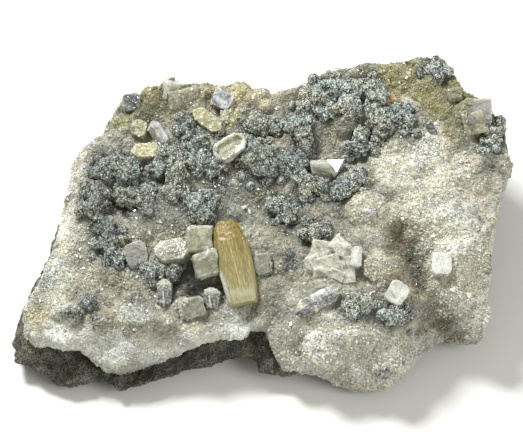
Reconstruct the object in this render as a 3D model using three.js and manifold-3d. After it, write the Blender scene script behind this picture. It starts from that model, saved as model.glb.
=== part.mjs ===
// A hand-sized plate of dark basalt, crusted with drusy quartz. One honey-coloured heulandite crystal
// lies on it, among pale blocks, blades and tablets and many knobbly grey-green balls.
//
// Millimetres, +Z up, -Y the front. The plate lies on its broken underside, and the origin is at the
// foot, under the middle of the bounding box.
//
// Most places are given as they are seen from the front, looking down at viewAngle: millimetres
// across, and millimetres up the view. What lies on the crust is then set down on it at that place.
import * as THREE from "three";
import { ConvexGeometry } from "three/addons/geometries/ConvexGeometry.js";
import { ImprovedNoise } from "three/addons/math/ImprovedNoise.js";
import { mergeVertices } from "three/addons/utils/BufferGeometryUtils.js";
import Module from "manifold-3d";

const wasm = await Module();
wasm.setup();

const viewAngle = THREE.MathUtils.degToRad(60);
const viewLevel = 20; // height of the level that the view's middle lies on
const gap = 0.3; // kept between pieces that touch
const crustThickness = 3;
const shoulder = 10; // how far in from its edge the crust rounds over
const middleHeight = 18.5; // of the crust's top, before its mounds
const riseBackwards = 0.14; // slope of the crust's top towards the back
const riseRightwards = 0.03;
const heulanditeLength = 19;
const crustStep = 4.2; // spacing of the crust's facets
const rockStep = 8;
const peak = 1.1; // how far the crust's points stand up
const fineness = 0.1; // detail smaller than this is smoothed away
const overhead = 60; // a height above everything
const footInset = 6; // how far the underside is undercut at the foot
const bellyHeight = 5; // height of the rock's widest line
const lipOverhang = 0.9; // how far the crust stands out over the rock below it
const leastVolume = 0.6; // a cut-off splinter smaller than this is dropped

// The crust's edge, clockwise from the left corner, as seen: across, up, the height of its top there,
// and how far it hangs down the side.
const crustEdge = [
  [-52.4, -25.6, 13, 3.6],
  [-52.7, -21.1, 14, 3.6],
  [-48.7, -13.8, 15, 3.6],
  [-46.4, -7.1, 15, 3.6],
  [-44.7, 0.2, 16, 3.8],
  [-43.8, 6.2, 17, 4],
  [-42, 14, 18, 4.5],
  [-40.2, 17.1, 18.5, 5],
  [-36.2, 19.1, 19, 5.5],
  [-34, 23.1, 20, 6],
  [-32.2, 26.2, 21, 7],
  [-30.4, 28.9, 22, 8],
  [-25.8, 29.3, 23, 8],
  [-22.9, 30.7, 24, 9],
  [-20.2, 32.9, 25, 9],
  [-17.6, 31.3, 25, 10],
  [-12.7, 31.8, 25, 8],
  [-8.7, 30.9, 24, 7],
  [-4.7, 31.8, 24, 8],
  [-0.7, 30, 23, 7],
  [2.9, 29.1, 22, 7],
  [7.6, 30.7, 24, 8],
  [11.3, 32.2, 26, 10],
  [15.8, 34.7, 28, 12],
  [22, 35.3, 29, 11],
  [28.7, 35.8, 30, 9],
  [32.7, 36.7, 31, 10],
  [40.4, 36.9, 31, 13],
  [42.4, 34, 30, 12],
  [45.3, 30, 29, 11],
  [49.6, 27.6, 28, 10],
  [51.6, 24.7, 28, 11],
  [54, 22.4, 27, 12],
  [54.7, 18.4, 26, 11],
  [55.8, 13.6, 25, 10],
  [53.8, 9.6, 25, 12],
  [52.4, 4, 24, 13],
  [51.6, -0.4, 23, 13],
  [50.4, -7.1, 22, 12],
  [50.9, -13.8, 20, 11],
  [49.8, -18.2, 17, 10],
  [49.8, -26.1, 12, 7],
  [46.4, -27.4, 10, 6],
  [40.9, -26.3, 10, 6],
  [38, -28.3, 9, 5.5],
  [33.6, -32.3, 8, 5],
  [30, -35.9, 7, 4.5],
  [27.6, -37.9, 6, 4],
  [20.9, -37.6, 6, 4],
  [16.4, -36.5, 7, 4.5],
  [12.7, -34.1, 8, 4.5],
  [8.7, -33.4, 9, 4],
  [4.9, -33.4, 9, 3.6],
  [2, -28.2, 11, 3.6],
  [1.1, -24.7, 13, 3.6],
  [-2.4, -24.4, 13.5, 3.6],
  [-5.8, -25.6, 13, 3.6],
  [-12.4, -27.6, 12, 3.6],
  [-16.9, -28.7, 12, 3.6],
  [-21.3, -31.3, 9, 3.6],
  [-26.9, -32.9, 8, 3.6],
  [-31.3, -34.4, 7, 3.4],
  [-34.7, -33.3, 8, 3.4],
  [-37.6, -30.9, 10, 3.6],
  [-40.2, -28.7, 12, 3.6],
  [-44.2, -28.7, 12, 3.6],
  [-47.3, -27.1, 13, 3.6],
  [-50.2, -28, 12, 3.6],
];

// The rock's widest line, clockwise from the left corner, in plan. It shows beyond the crust at the
// left and the front left, and lies under the crust everywhere else.
const rockEdge = [
  [-55, -27],
  [-55.3, -21.6],
  [-53.6, -13.6],
  [-50, -5.4],
  [-47.3, 2.2],
  [-45.3, 8.4],
  [-43.8, 15.8],
  [-40, 19.5],
  [-35, 23],
  [-33, 26],
  [-29, 30],
  [-24, 30.5],
  [-19.5, 32.8],
  [-12.5, 31.5],
  [-4.5, 32.5],
  [2.5, 30],
  [7.5, 31],
  [15, 33],
  [21, 33],
  [30, 34],
  [37, 33.5],
  [40, 31],
  [46, 26],
  [51, 22],
  [52, 18],
  [53, 13],
  [51, 8.5],
  [49, 0],
  [47.5, -8],
  [48.5, -14],
  [47, -20.5],
  [44, -21.5],
  [39, -20.5],
  [32, -26],
  [27, -31],
  [21, -31],
  [16, -30],
  [9, -29.3],
  [4.9, -30.5],
  [-0.7, -29.8],
  [-1.5, -26.5],
  [-3.6, -25.4],
  [-11.3, -28.2],
  [-17.3, -29.2],
  [-21.3, -31],
  [-24.7, -32.4],
  [-30.2, -33.8],
  [-32.4, -34.8],
  [-35.1, -32.6],
  [-38, -31.6],
  [-40.2, -32],
  [-43.6, -33.3],
  [-46.9, -31.4],
  [-49.6, -29.4],
];

// The crust's mounds and hollows, in plan: across, depth, half its length, half its width, how far its
// length is turned from across, and its rise.
const mounds = [
  [39, 8, 12, 17, 0, 6.5], // the big white mound at the right
  [43, -16, 8, 12, 0, 4.5],
  [34, -9, 15, 3.6, -62, -6], // the valley left of it
  [22, -27, 15, 10, 0, 4.5], // the front lobe
  [26.5, -9, 7, 8, 0, 4.5],
  [23, 4.5, 5, 5, 0, 4],
  [19, 24, 12, 7, 0, 2.5],
  [36, 29, 14, 9, 0, 3.5], // the high back right corner
  [-18, 28, 9, 6, 0, 2.5],
  [3, 29, 5, 7, 0, -3.5], // the notch in the back edge
  [-1, 3, 7, 4.5, 0, -4],
  [-31, 5, 6, 2.6, 0, -3],
  [-12, -14.5, 6, 3.6, 0, -3.6], // the pit in front of the pale blocks
  [-41, 2, 4, 16, 0, 2.2],
  [-30, -23, 9, 5, 0, 2],
  [-15, -24, 9, 5, 0, 2],
  [-24.5, 3, 5, 4, 0, 2],
  [14, 17, 9, 3, 8, -2.2],
  [0, -18, 16, 3, 0, 1.2],
];

// The knobbly balls that stand in groups of their own: across, up and radius of each knob, as seen.
const knobGroups = [
  [[-30.2, 11.3, 2.6], [-34.7, 11.3, 2.5], [-32.5, 12.8, 2.2]],
  [[-36.9, 6.4, 2.1], [-35.6, 4.4, 1.9], [-37.6, 2.6, 2]],
  [[-30.9, 6, 1.9], [-29, 5.3, 1.8], [-26.9, 5.8, 2.1], [-25.3, 3.2, 1.6]],
  [[-20.9, 15.1, 2.1], [-22.9, 12.2, 2], [-18, 14, 1.9], [-18.7, 10.7, 2.2], [-19.1, 7.3, 1.9]],
  [[-15.8, 21.1, 2], [-13.6, 19.4, 2.1], [-14.7, 17.1, 1.9], [-11.6, 20.2, 1.7], [-10.9, 18.2, 1.7]],
  [[-13.6, 13.3, 2], [-10.9, 12.2, 1.8]],
  [[-1.1, 16.7, 2], [0.2, 14.7, 2.3], [-0.7, 12.2, 1.9], [1.6, 11.3, 1.7], [-2.6, 14, 1.8]],
  [[7.6, 13.1, 1.9], [8.4, 11.1, 1.6], [5.2, 14, 1.7]],
  [[8.7, 21.1, 2.3], [9.8, 18.7, 1.8]],
  [[3.1, 22, 1.9], [0.4, 21, 1.8], [-2, 21.8, 1.9]],
  [[-12.9, 1.8, 2], [-15.2, 4.6, 1.8], [-11.6, 5.4, 1.9], [-13.6, 4, 1.5]],
  [[4.2, 3.6, 2.1], [5.8, 1.3, 1.8], [7.4, 3, 1.6]],
  [[10.2, 7.3, 1.8], [12.4, 9.4, 1.8], [13.6, 7.2, 1.6]],
  [[11.6, -2.4, 2.1]],
  [[10.9, 28.4, 2.1], [13.6, 29.4, 2.1], [12.7, 26.2, 2.3], [16, 28.2, 2], [9.8, 25.1, 1.6], [15.5, 25, 1.8]],
  [[19.6, 25.6, 2.4]],
  [[18.7, 30.2, 1.8], [21.6, 30, 1.9], [24.2, 28.9, 1.9], [25, 27, 1.5]],
  [[26, 23.3, 2.1], [28.7, 22.4, 2.3], [31.3, 22.9, 2.1], [27.1, 20.5, 1.7], [32.2, 20.9, 1.6]],
  [[22.2, 17.1, 2.1], [22.6, 20, 1.6]],
  [[18.7, 9.3, 1.7], [21.3, 9.2, 1.8], [17.8, 6.4, 1.7]],
  [[53, 20.7, 1.7], [52, 18.2, 2]],
  [[39.8, 34.2, 2]],
  [[-34.9, -1.2, 1.9], [-34.7, -4.2, 2.1], [-32.6, -7, 1.9]],
  [[-24.7, -10.2, 1.7], [-22.1, -10.8, 1.9], [-19.6, -10.6, 1.8]],
  [[22, -18.2, 2.1], [19.8, -18.6, 1.5]],
  [[28.2, -21, 1.6], [30.6, -20.4, 1.7]],
];

// Small lone knobs, fused to the crust they grow from: across, up and radius, as seen.
const loneKnobs = [
  [-36.9, 16.2, 1.8],
  [-38.2, 13.6, 1.6],
  [-5.6, 2.4, 1.5],
  [17.8, 21.3, 1.5],
  [20.2, 21, 1.4],
  [27.8, 7.3, 1.6],
  [54, 12.9, 1.8],
  [-38.4, -17.1, 1.8],
  [-41.6, -19.8, 1.8],
  [-28.9, -17.1, 1.5],
  [5.2, -7.1, 1.5],
  [4.4, -9.6, 1.4],
  [-17.8, -15.3, 1.5],
  [26.4, -32.3, 1.4],
];

// Shape helpers

const noise = new ImprovedNoise();

// The plan depth of what is seen at a place up the view, when it is at height z.
const depthOf = (up, z) =>
  (up - (z - viewLevel) * Math.cos(viewAngle)) / Math.sin(viewAngle);

// Reads a star-shaped outline by its angle round the middle. Each point holds x, y and any values of
// its own; the result at an angle is the radius and those values.
function polarReader(points) {
  const entries = 720;
  const table = [];
  for (let i = 0; i <= entries; i++) {
    const angle = (i / entries) * 2 * Math.PI - Math.PI;
    const toX = Math.cos(angle);
    const toY = Math.sin(angle);
    let found = null;
    points.forEach((p, k) => {
      const q = points[(k + 1) % points.length];
      const edgeX = q[0] - p[0];
      const edgeY = q[1] - p[1];
      const turned = toX * edgeY - toY * edgeX;
      const share = (p[0] * toY - p[1] * toX) / turned;
      const radius = (p[0] * edgeY - p[1] * edgeX) / turned;
      const inside = share >= 0 && share <= 1 && radius > 0;
      if (inside && (!found || radius > found[0]))
        found = [radius, ...p.slice(2).map((v, n) => v + (q[n + 2] - v) * share)];
    });
    table.push(found);
  }
  return (angle) => {
    const at = ((angle + Math.PI) / (2 * Math.PI)) * entries;
    const low = Math.min(Math.floor(at), entries - 1);
    return table[low].map((v, n) => v + (table[low + 1][n] - v) * (at - low));
  };
}

// What is seen of the edge is its top at the back, and its hem at the front.
const crustPlan = crustEdge.map(([across, up, top, hem]) => {
  const front = THREE.MathUtils.clamp(-up / 20, 0, 1);
  return [across, depthOf(up, top - 0.9 * hem * front), top, hem];
});
const crustRim = polarReader(crustPlan);
const rockRim = polarReader(rockEdge);
const anglesOf = (points) => points.map(([x, y]) => Math.atan2(y, x)).sort((a, b) => a - b);

function rise(mound, x, y) {
  const [across, depth, half, halfWidth, turn, height] = mound;
  const angle = THREE.MathUtils.degToRad(turn);
  const along = (x - across) * Math.cos(angle) + (y - depth) * Math.sin(angle);
  const beside = (y - depth) * Math.cos(angle) - (x - across) * Math.sin(angle);
  return height * Math.exp(-((along / half) ** 2) - (beside / halfWidth) ** 2);
}

// The crust's top at a place in plan: its mounds in the middle, rounding over to its edge.
function crustTop(x, y) {
  const swell = noise.noise(x / 8.3, y / 8.3, 0.5) + 0.5 * noise.noise(x / 3.9, y / 3.9, 7.5);
  const inner =
    mounds.reduce((sum, mound) => sum + rise(mound, x, y), middleHeight) +
    riseBackwards * y +
    riseRightwards * x +
    1.3 * swell;
  const [radius, top] = crustRim(Math.atan2(y, x));
  const share = THREE.MathUtils.clamp((radius - Math.hypot(x, y)) / shoulder, 0, 1);
  return top + (inner - top) * Math.sin((share * Math.PI) / 2);
}

// The same with its stubby points: at the places where they are read, every third one stands up.
function drusyTop(x, y) {
  const [column, row] = [Math.round(x / crustStep), Math.round(y / crustStep)];
  const raised = (((column + 2 * row) % 3) + 3) % 3 === 0;
  return crustTop(x, y) + (raised ? peak : 0) + 0.9 * noise.noise(x * 0.43, y * 0.43, 3.3);
}


// The rock's top keeps below the crust's even where the crust dips between two of its own corners.
function rockTop(x, y) {
  const reach = [-0.6 * rockStep, 0, 0.6 * rockStep];
  const around = reach.flatMap((aside) => reach.map((away) => crustTop(x + aside, y + away)));
  return Math.min(...around) - crustThickness;
}

// A closed body through rings of points that run counter-clockwise round the way up, capped at both
// ends by a fan from each end ring's middle.
function loft(rings) {
  const count = rings[0].length;
  const middle = (ring) =>
    ring.reduce((sum, p) => sum.add(p), new THREE.Vector3()).divideScalar(count);
  const points = [...rings.flat(), middle(rings[0]), middle(rings.at(-1))];
  const index = [];
  const last = (rings.length - 1) * count;
  for (let i = 0; i < count; i++) {
    const next = (i + 1) % count;
    index.push(points.length - 2, next, i);
    index.push(points.length - 1, last + i, last + next);
    for (let k = 0; k < rings.length - 1; k++) {
      const low = k * count;
      index.push(low + i, low + next, low + count + next);
      index.push(low + i, low + count + next, low + count + i);
    }
  }
  const geometry = new THREE.BufferGeometry().setFromPoints(points);
  geometry.setIndex(index);
  return geometry;
}

// A closed block that reaches from below everything up to a height given at each place in plan.
function blockUnder(heightAt, step) {
  const halfLength = 60;
  const halfWidth = 44;
  const columns = Math.round((2 * halfLength) / step);
  const rows = Math.round((2 * halfWidth) / step);
  const points = [];
  for (const level of [0, 1])
    for (let j = 0; j <= rows; j++)
      for (let i = 0; i <= columns; i++) {
        const x = -halfLength + (i * 2 * halfLength) / columns;
        const y = -halfWidth + (j * 2 * halfWidth) / rows;
        points.push(new THREE.Vector3(x, y, level ? heightAt(x, y) : -10));
      }
  const across = columns + 1;
  const upper = across * (rows + 1);
  const index = [];
  for (let j = 0; j < rows; j++)
    for (let i = 0; i < columns; i++) {
      const a = j * across + i;
      const corners = [a, a + 1, a + across + 1, a + across];
      const [p, q, r, s] = (i + j) % 2 ? corners : [...corners.slice(1), a];
      index.push(upper + p, upper + q, upper + r, upper + p, upper + r, upper + s);
      index.push(p, r, q, p, s, r);
    }
  const wall = (a, b) => index.push(a, b, upper + b, a, upper + b, upper + a);
  for (let i = 0; i < columns; i++) {
    wall(i, i + 1);
    wall(rows * across + i + 1, rows * across + i);
  }
  for (let j = 0; j < rows; j++) {
    wall((j + 1) * across, j * across);
    wall(j * across + columns, (j + 1) * across + columns);
  }
  const geometry = new THREE.BufferGeometry().setFromPoints(points);
  geometry.setIndex(index);
  return solidOf(geometry);
}

// A geometry as a solid that can be joined and cut.
function solidOf(geometry) {
  const bare = new THREE.BufferGeometry().setAttribute("position", geometry.getAttribute("position"));
  if (geometry.index) bare.setIndex(geometry.index);
  const merged = mergeVertices(bare, 1e-4);
  return new wasm.Manifold(
    new wasm.Mesh({
      numProp: 3,
      vertProperties: new Float32Array(merged.attributes.position.array),
      triVerts: new Uint32Array(merged.index.array),
    }),
  );
}

function geometryOf(solid) {
  const mesh = solid.getMesh();
  const geometry = new THREE.BufferGeometry();
  geometry.setAttribute("position", new THREE.BufferAttribute(mesh.vertProperties, 3));
  geometry.setIndex(new THREE.BufferAttribute(mesh.triVerts, 1));
  const flat = geometry.toNonIndexed();
  flat.computeVertexNormals();
  return flat;
}

const joined = (solids) => solids.reduce((sum, solid) => sum.add(solid));

const largest = (solid) =>
  solid
    .simplify(fineness)
    .decompose()
    .reduce((best, body) => (body.volume() > best.volume() ? body : best));

// Rock and crust

// One ring of an edge, a point at each of the angles: radiusAt and heightAt take the angle.
const ringOf = (angles, radiusAt, heightAt) =>
  angles.map((angle) => {
    const radius = radiusAt(angle);
    return new THREE.Vector3(Math.cos(angle) * radius, Math.sin(angle) * radius, heightAt(angle));
  });

const roughness = (angle, seed) => noise.noise(7.3 * Math.cos(angle), 7.3 * Math.sin(angle), seed);

// The basalt, larger by grow all round.
function rock(grow) {
  const belly = (a) => rockRim(a)[0] + grow;
  const neck = (a) => Math.min(crustRim(a)[0] - lipOverhang, rockRim(a)[0]) + grow;
  const waist = (a) => (belly(a) + neck(a)) / 2 + 0.9 * roughness(a, 5.5);
  const under = (a) => crustRim(a)[1] - crustThickness;
  const ring = (radiusAt, heightAt) => ringOf(anglesOf(rockEdge), radiusAt, heightAt);
  const body = loft([
    ring((a) => belly(a) - footInset - 4 * roughness(a, 1.5), () => -grow),
    ring((a) => belly(a) - 1.8 - 1.6 * roughness(a, 2.5), (a) => 2.2 + roughness(a, 3.5)),
    ring(belly, (a) => bellyHeight + 1.6 * roughness(a, 4.5)),
    ring(waist, (a) => (bellyHeight + under(a)) / 2),
    ring(neck, under),
    ring(neck, () => overhead),
  ]);
  return solidOf(body).intersect(blockUnder((x, y) => rockTop(x, y) + grow, rockStep));
}

// The drusy crust with the small knobs that grow from it.
function crust(knobs) {
  const edge = (a) => crustRim(a)[0];
  const foot = (a) => edge(a) - 0.6 - 0.9 * roughness(a, 6.5);
  const bulge = (a) => edge(a) + 0.6 * roughness(a, 8.5);
  const level = (a, share) => crustRim(a)[1] - crustRim(a)[2] * share;
  const ring = (radiusAt, heightAt) => ringOf(anglesOf(crustPlan), radiusAt, heightAt);
  const body = loft([
    ring(foot, (a) => level(a, 1 + 0.25 * roughness(a, 7.5))),
    ring(bulge, (a) => level(a, 0.5)),
    ring(edge, (a) => level(a, 0.12)),
    ring(edge, () => overhead),
  ]);
  return solidOf(body).intersect(blockUnder(drusyTop, crustStep)).add(knobs).subtract(rock(gap));
}

// A place on the crust, as seen, raised by lift above it.
function seat(across, up, lift) {
  let depth = depthOf(up, viewLevel);
  let height = viewLevel;
  for (let i = 0; i < 60; i++) {
    height = crustTop(across, depth) + lift;
    depth += 0.4 * (depthOf(up, height) - depth);
  }
  return new THREE.Vector3(across, depth, height);
}

// The frame of what is seen at a place: x across, y up the view and z towards the viewer, then turned
// in degrees by roll in the view, nod about its x and swing about its y.
function viewFrame(place, { roll = 0, nod = 0, swing = 0 } = {}) {
  const right = new THREE.Vector3(1, 0, 0);
  const up = new THREE.Vector3(0, Math.sin(viewAngle), Math.cos(viewAngle));
  const toViewer = new THREE.Vector3(0, -Math.cos(viewAngle), Math.sin(viewAngle));
  return new THREE.Matrix4()
    .makeBasis(right, up, toViewer)
    .setPosition(place)
    .multiply(new THREE.Matrix4().makeRotationZ(THREE.MathUtils.degToRad(roll)))
    .multiply(new THREE.Matrix4().makeRotationX(THREE.MathUtils.degToRad(nod)))
    .multiply(new THREE.Matrix4().makeRotationY(THREE.MathUtils.degToRad(swing)));
}

// Crystal shapes, each a function of grow, so that a neighbour can be cut clear of it

const octagon = (width, height, cut) => {
  const x = width / 2;
  const y = height / 2;
  return [
    [x - cut, y], [x, y - cut], [x, cut - y], [x - cut, -y],
    [cut - x, -y], [-x, cut - y], [-x, y - cut], [cut - x, y],
  ];
};

// A block with its corners cut and, if it has one, a bevel round its front.
function slab(width, height, thickness, cut = 0.16, edge = 0) {
  return (grow) => {
    const [w, h, t] = [width, height, thickness].map((size) => size + 2 * grow);
    const corner = cut * Math.min(w, h);
    const bevel = edge * Math.min(w, h, t);
    const outline = octagon(w, h, corner);
    const front = octagon(w - 2 * bevel, h - 2 * bevel, corner);
    return new ConvexGeometry([
      ...outline.map(([x, y]) => new THREE.Vector3(x, y, -t / 2)),
      ...outline.map(([x, y]) => new THREE.Vector3(x, y, t / 2 - bevel)),
      ...front.map(([x, y]) => new THREE.Vector3(x, y, t / 2)),
    ]);
  };
}

// A six-sided crystal that lies along x, with a blunt point at each end.
function prism(length, width, thickness) {
  return (grow) => {
    const [l, w, t] = [length, width, thickness].map((size) => size + 2 * grow);
    const points = [];
    const stations = [[-l / 2, 0.35], [-l * 0.34, 1], [l * 0.34, 1], [l / 2, 0.35]];
    for (const [x, share] of stations)
      for (let k = 0; k < 6; k++) {
        const angle = (k / 6) * 2 * Math.PI + 0.3;
        const y = (Math.cos(angle) * w * share) / 2;
        points.push(new THREE.Vector3(x, y, (Math.sin(angle) * t * share) / 2));
      }
    return new ConvexGeometry(points);
  };
}

// The clear crystal whose corner is cut by one bright triangular face.
function wedge() {
  const corners = [
    [-3.6, 1.5, 0.6], [3.7, 1.5, 0.6], [-3.6, 0.9, 1.9], [-0.3, 0.9, 2.2], [3.7, 0.9, 1.8],
    [1.8, -2, 1.7], [-3.4, -1.2, 1.4], [-2.6, -2.5, -0.8], [1.6, -3.2, -0.8], [3.6, -1, -1.6],
    [-3.6, 1, -1.6], [3.6, 1, -1.6],
  ];
  return (grow) => {
    const scale = 1 + grow / 1.6;
    return new ConvexGeometry(corners.map((c) => new THREE.Vector3(...c).multiplyScalar(scale)));
  };
}

// The heulandite: a stout barrel of parallel plates, along y, rounded off at its back end. Stations
// are the place along it as a share of half the length, the half width and the half thickness.
function heulandite() {
  const half = heulanditeLength / 2;
  const stations = [
    [-1, 3.1, 2.4, 0.3],
    [-0.6, 3.7, 2.8, 0.2],
    [0, 4.05, 3.1, 0],
    [0.5, 3.75, 3, -0.2],
    [0.84, 2.9, 2.3, -0.4],
    [1, 1.8, 1.3, -0.5],
  ];
  const section = [
    [-1, -0.4], [-0.98, 0.24], [-0.7, 0.84], [0.3, 1],
    [0.84, 0.6], [1, 0], [0.7, -0.9], [-0.7, -0.9],
  ];
  return (grow) =>
    loft(
      stations.map(([share, width, thickness, aside], k) =>
        section.map(([x, z], n) => {
          const rough = k > 2 ? 0.25 * Math.sin(5 * k + 3.7 * n) : 0;
          const y = share * (half + grow) + rough;
          return new THREE.Vector3(aside + x * (width + grow), y, z * (thickness + grow));
        }),
      ),
    );
}

// A rough ball, flattest where it sits.
function knob(radius, seed) {
  return (grow) => {
    const ball = mergeVertices(
      new THREE.BufferGeometry().setAttribute(
        "position",
        new THREE.IcosahedronGeometry(1, 0).getAttribute("position"),
      ),
    );
    const place = ball.getAttribute("position");
    const at = new THREE.Vector3();
    for (let i = 0; i < place.count; i++) {
      at.fromBufferAttribute(place, i);
      const lump = 1.12 + 0.3 * noise.noise(at.x * 1.6 + seed, at.y * 1.6, at.z * 1.6 + seed);
      at.multiplyScalar(radius * lump + grow);
      place.setXYZ(i, at.x, at.y, at.z);
    }
    return ball;
  };
}

// A shape set down in a frame, as a function of grow that gives a solid.
const setDown = (shape, frame) => (grow) => solidOf(shape(grow).clone().applyMatrix4(frame));

const joinedShapes = (shapes) => (grow) => joined(shapes.map((shape) => shape(grow)));

const onCrust = (shape, across, up, lift, turns) =>
  setDown(shape, viewFrame(seat(across, up, lift), turns));

// The tablet like a shallow dish, with its rim standing.
function dish() {
  const across = -6.9;
  const up = 16.7;
  const turns = { roll: 33, nod: -18 };
  const outer = onCrust(slab(7.8, 4.4, 2.8, 0.3), across, up, 2, turns);
  const hollow = slab(6.2, 2.6, 1.4, 0.34);
  const inside = setDown(
    (grow) => hollow(grow).translate(0.2, 0.35, 1.3),
    viewFrame(seat(across, up, 2), turns),
  );
  return (grow) => (grow ? outer(grow) : outer(0).subtract(inside(0)));
}

// Blades that fan out from one root: place from the root, width, height and turn in the view.
function bladeCluster() {
  const blades = [
    [-2.4, -0.4, 4.6, 4.2, 12, -20, 25],
    [0.6, 0.4, 5.4, 3.6, -30, 10, -15],
    [-1, 2.6, 4.2, 3.4, 35, -25, 10],
    [2.4, 2, 4.4, 2.8, -48, 0, 20],
    [-0.6, -2.6, 4.4, 3, -12, 30, 0],
    [3, -1.2, 3.4, 3.4, 20, 20, -30],
  ];
  return joinedShapes(
    blades.map(([x, y, width, height, roll, nod, swing]) =>
      onCrust(slab(width, height, 1.5, 0.22), 14.4 + x, -8.6 + y, 1.4, { roll, nod, swing }),
    ),
  );
}

const paints = {
  basalt: { color: 0x55564f, roughness: 0.95, metalness: 0 },
  drusy_quartz: { color: 0xc9c6b8, roughness: 0.6, metalness: 0 },
  heulandite: { color: 0xc79a45, roughness: 0.35, metalness: 0 },
  pale_crystal: { color: 0xc5c8b2, roughness: 0.3, metalness: 0 },
  clear_crystal: { color: 0xd5d9cf, roughness: 0.15, metalness: 0 },
  coated_crystal: { color: 0xa9aba8, roughness: 0.7, metalness: 0 },
  honey_druse: { color: 0xbdb66f, roughness: 0.6, metalness: 0 },
  grey_knob: { color: 0x78837f, roughness: 0.85, metalness: 0 },
};

const paleBlocks = joinedShapes([
  onCrust(slab(6.3, 6, 5, 0.1, 0.1), -13.2, -3.8, 3, { roll: -2, nod: -6, swing: -6 }),
  onCrust(slab(5.8, 5.6, 4.8, 0.1, 0.1), -12, -9, 3.2, { roll: 18, nod: 4, swing: 6 }),
  onCrust(slab(7.8, 5, 3.4, 0.34), -19.6, -6.6, 2.6, { roll: 8, nod: -28 }),
]);

// Crystals that stand alone: shape, then across, up, lift and turns.
const loneCrystals = [
  ["clear_wedge", "clear_crystal", wedge(), 14.7, 12.4, 1.9],
  ["white_upright_blade", "clear_crystal", slab(2.4, 4.4, 2.2), 21, -7.6, 1.9, { roll: -8, nod: -12 }],
  ["white_leaning_blade", "clear_crystal", slab(4.4, 4.8, 1.5), 29.8, -15.4, 1.5, { roll: -32, nod: -14 }],
  ["white_block", "clear_crystal", slab(4.2, 4.6, 3.4), 39.8, -9.1, 1, { roll: -4, nod: -8 }],
  ["grey_tooth", "clear_crystal", prism(6.4, 3.4, 3.2), -22.9, 19.9, 1.5, { roll: 122 }],
  ["grey_corner_block", "clear_crystal", slab(3.8, 3.6, 3.4), -29.1, 27.2, 1.2, { roll: 10 }],
  ["bluish_block", "clear_crystal", slab(4.4, 3.8, 3.4), -8.9, 27.4, 1.6, { roll: -25, nod: -10 }],
  ["square_corner_crystal", "clear_crystal", slab(5.6, 5.6, 4.4, 0.04), 48.5, 24.9, 2.2, { roll: 1 }],
  ["side_block", "clear_crystal", slab(3.6, 4.4, 2.6), 0.4, -9.1, 0.9, { roll: 8 }],
  ["west_block", "clear_crystal", slab(4.8, 5.6, 3), -27.6, -7.1, 0.9, { roll: 15 }],
  ["front_block", "clear_crystal", slab(5.2, 4.2, 3), -15.1, -18.7, 0.8, { roll: 15 }],
  ["coated_long_crystal", "coated_crystal", prism(10.6, 4.4, 4), 12.4, -17.4, 1.3, { roll: 28 }],
  ["coated_stub_west", "coated_crystal", prism(6.4, 3.6, 3.6), -21.3, -15.6, 1.7, { roll: 88 }],
  ["coated_stub_middle", "coated_crystal", prism(5.2, 4.2, 3.4), -10.9, -16.9, 1.5, { roll: 80 }],
  ["dark_eye_crystal", "coated_crystal", prism(2.8, 2, 2.4), 37.8, 21.3, 0.6, { roll: 110 }],
  ["dark_eye_crystal_back", "coated_crystal", prism(2.6, 1.8, 2.2), 35.3, 33.6, 0.6, { roll: 110 }],
  ["honey_tablet_round", "honey_druse", slab(3.8, 3.8, 2, 0.34), -27.3, 21.1, 1.1, { roll: 20, nod: -10 }],
  ["honey_tablet_long", "honey_druse", slab(6.8, 3.2, 2.2, 0.4), -25.6, 15.9, 2.2, { roll: 3, nod: -24 }],
  ["cream_cap", "honey_druse", slab(7.4, 3.4, 2.4, 0.4), -12.2, 22.9, 3.1, { roll: -35, nod: -16 }],
  ["cream_stub", "honey_druse", prism(4.4, 3, 3), -7.6, 23.9, 1.4, { roll: 100 }],
];

// Every crystal, the one that its neighbours are cut clear of first.
const crystals = [
  ["heulandite", "heulandite", onCrust(heulandite(), -5.8, -8.8, 2.9, { roll: 11, nod: -10 })],
  ["pale_block_group", "pale_crystal", paleBlocks],
  ["dish_tablet", "pale_crystal", dish()],
  ["cream_blade_cluster", "pale_crystal", bladeCluster()],
  ...loneCrystals.map(([name, paint, shape, ...place]) => [name, paint, onCrust(shape, ...place)]),
];

const knobGrowth = 1.25; // of a knob over its radius as seen
const knobLift = 0.35; // how far a knob's middle stands above the crust, as a share of its radius

const knobsAt = (knobs, seed) =>
  joinedShapes(
    knobs.map(([across, up, radius], n) =>
      setDown(knob(knobGrowth * radius, seed + n), viewFrame(seat(across, up, knobLift * radius))),
    ),
  );

const knobNumber = (n) => String(n + 1).padStart(2, "0");
const knobPieces = knobGroups.map((knobs, n) => [
  `grey_knobs_${knobNumber(n)}`,
  "grey_knob",
  knobsAt(knobs, 1.7 * n),
]);

// Sets a piece on the crust, clear of the crust and of the pieces set before it.
const ground = blockUnder((x, y) => drusyTop(x, y) + gap, crustStep);
const placed = [];

const meet = (a, b) =>
  a.min.every((low, axis) => low < b.max[axis] && b.min[axis] < a.max[axis]);

for (const [name, paint, shape] of [...crystals, ...knobPieces]) {
  const keepClear = shape(gap);
  const near = placed.filter((other) => meet(other.keepClear.boundingBox(), keepClear.boundingBox()));
  const solid = near.reduce((left, other) => left.subtract(other.keepClear), shape(0).subtract(ground));
  placed.push({ name, paint, keepClear, solid: largest(solid) });
}

const small = knobsAt(loneKnobs, 61.3)(0).subtract(joined(placed.map((piece) => piece.keepClear)));

const pieces = [
  { name: "basalt_matrix", paint: "basalt", solid: largest(rock(0)) },
  { name: "quartz_crust", paint: "drusy_quartz", solid: largest(crust(small)) },
  ...placed.filter((piece) => piece.solid.volume() > leastVolume),
];

const specimen = new THREE.Group();
for (const { name, paint, solid } of pieces) {
  const mesh = new THREE.Mesh(geometryOf(solid), new THREE.MeshStandardMaterial(paints[paint]));
  mesh.name = name;
  specimen.add(mesh);
}

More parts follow.
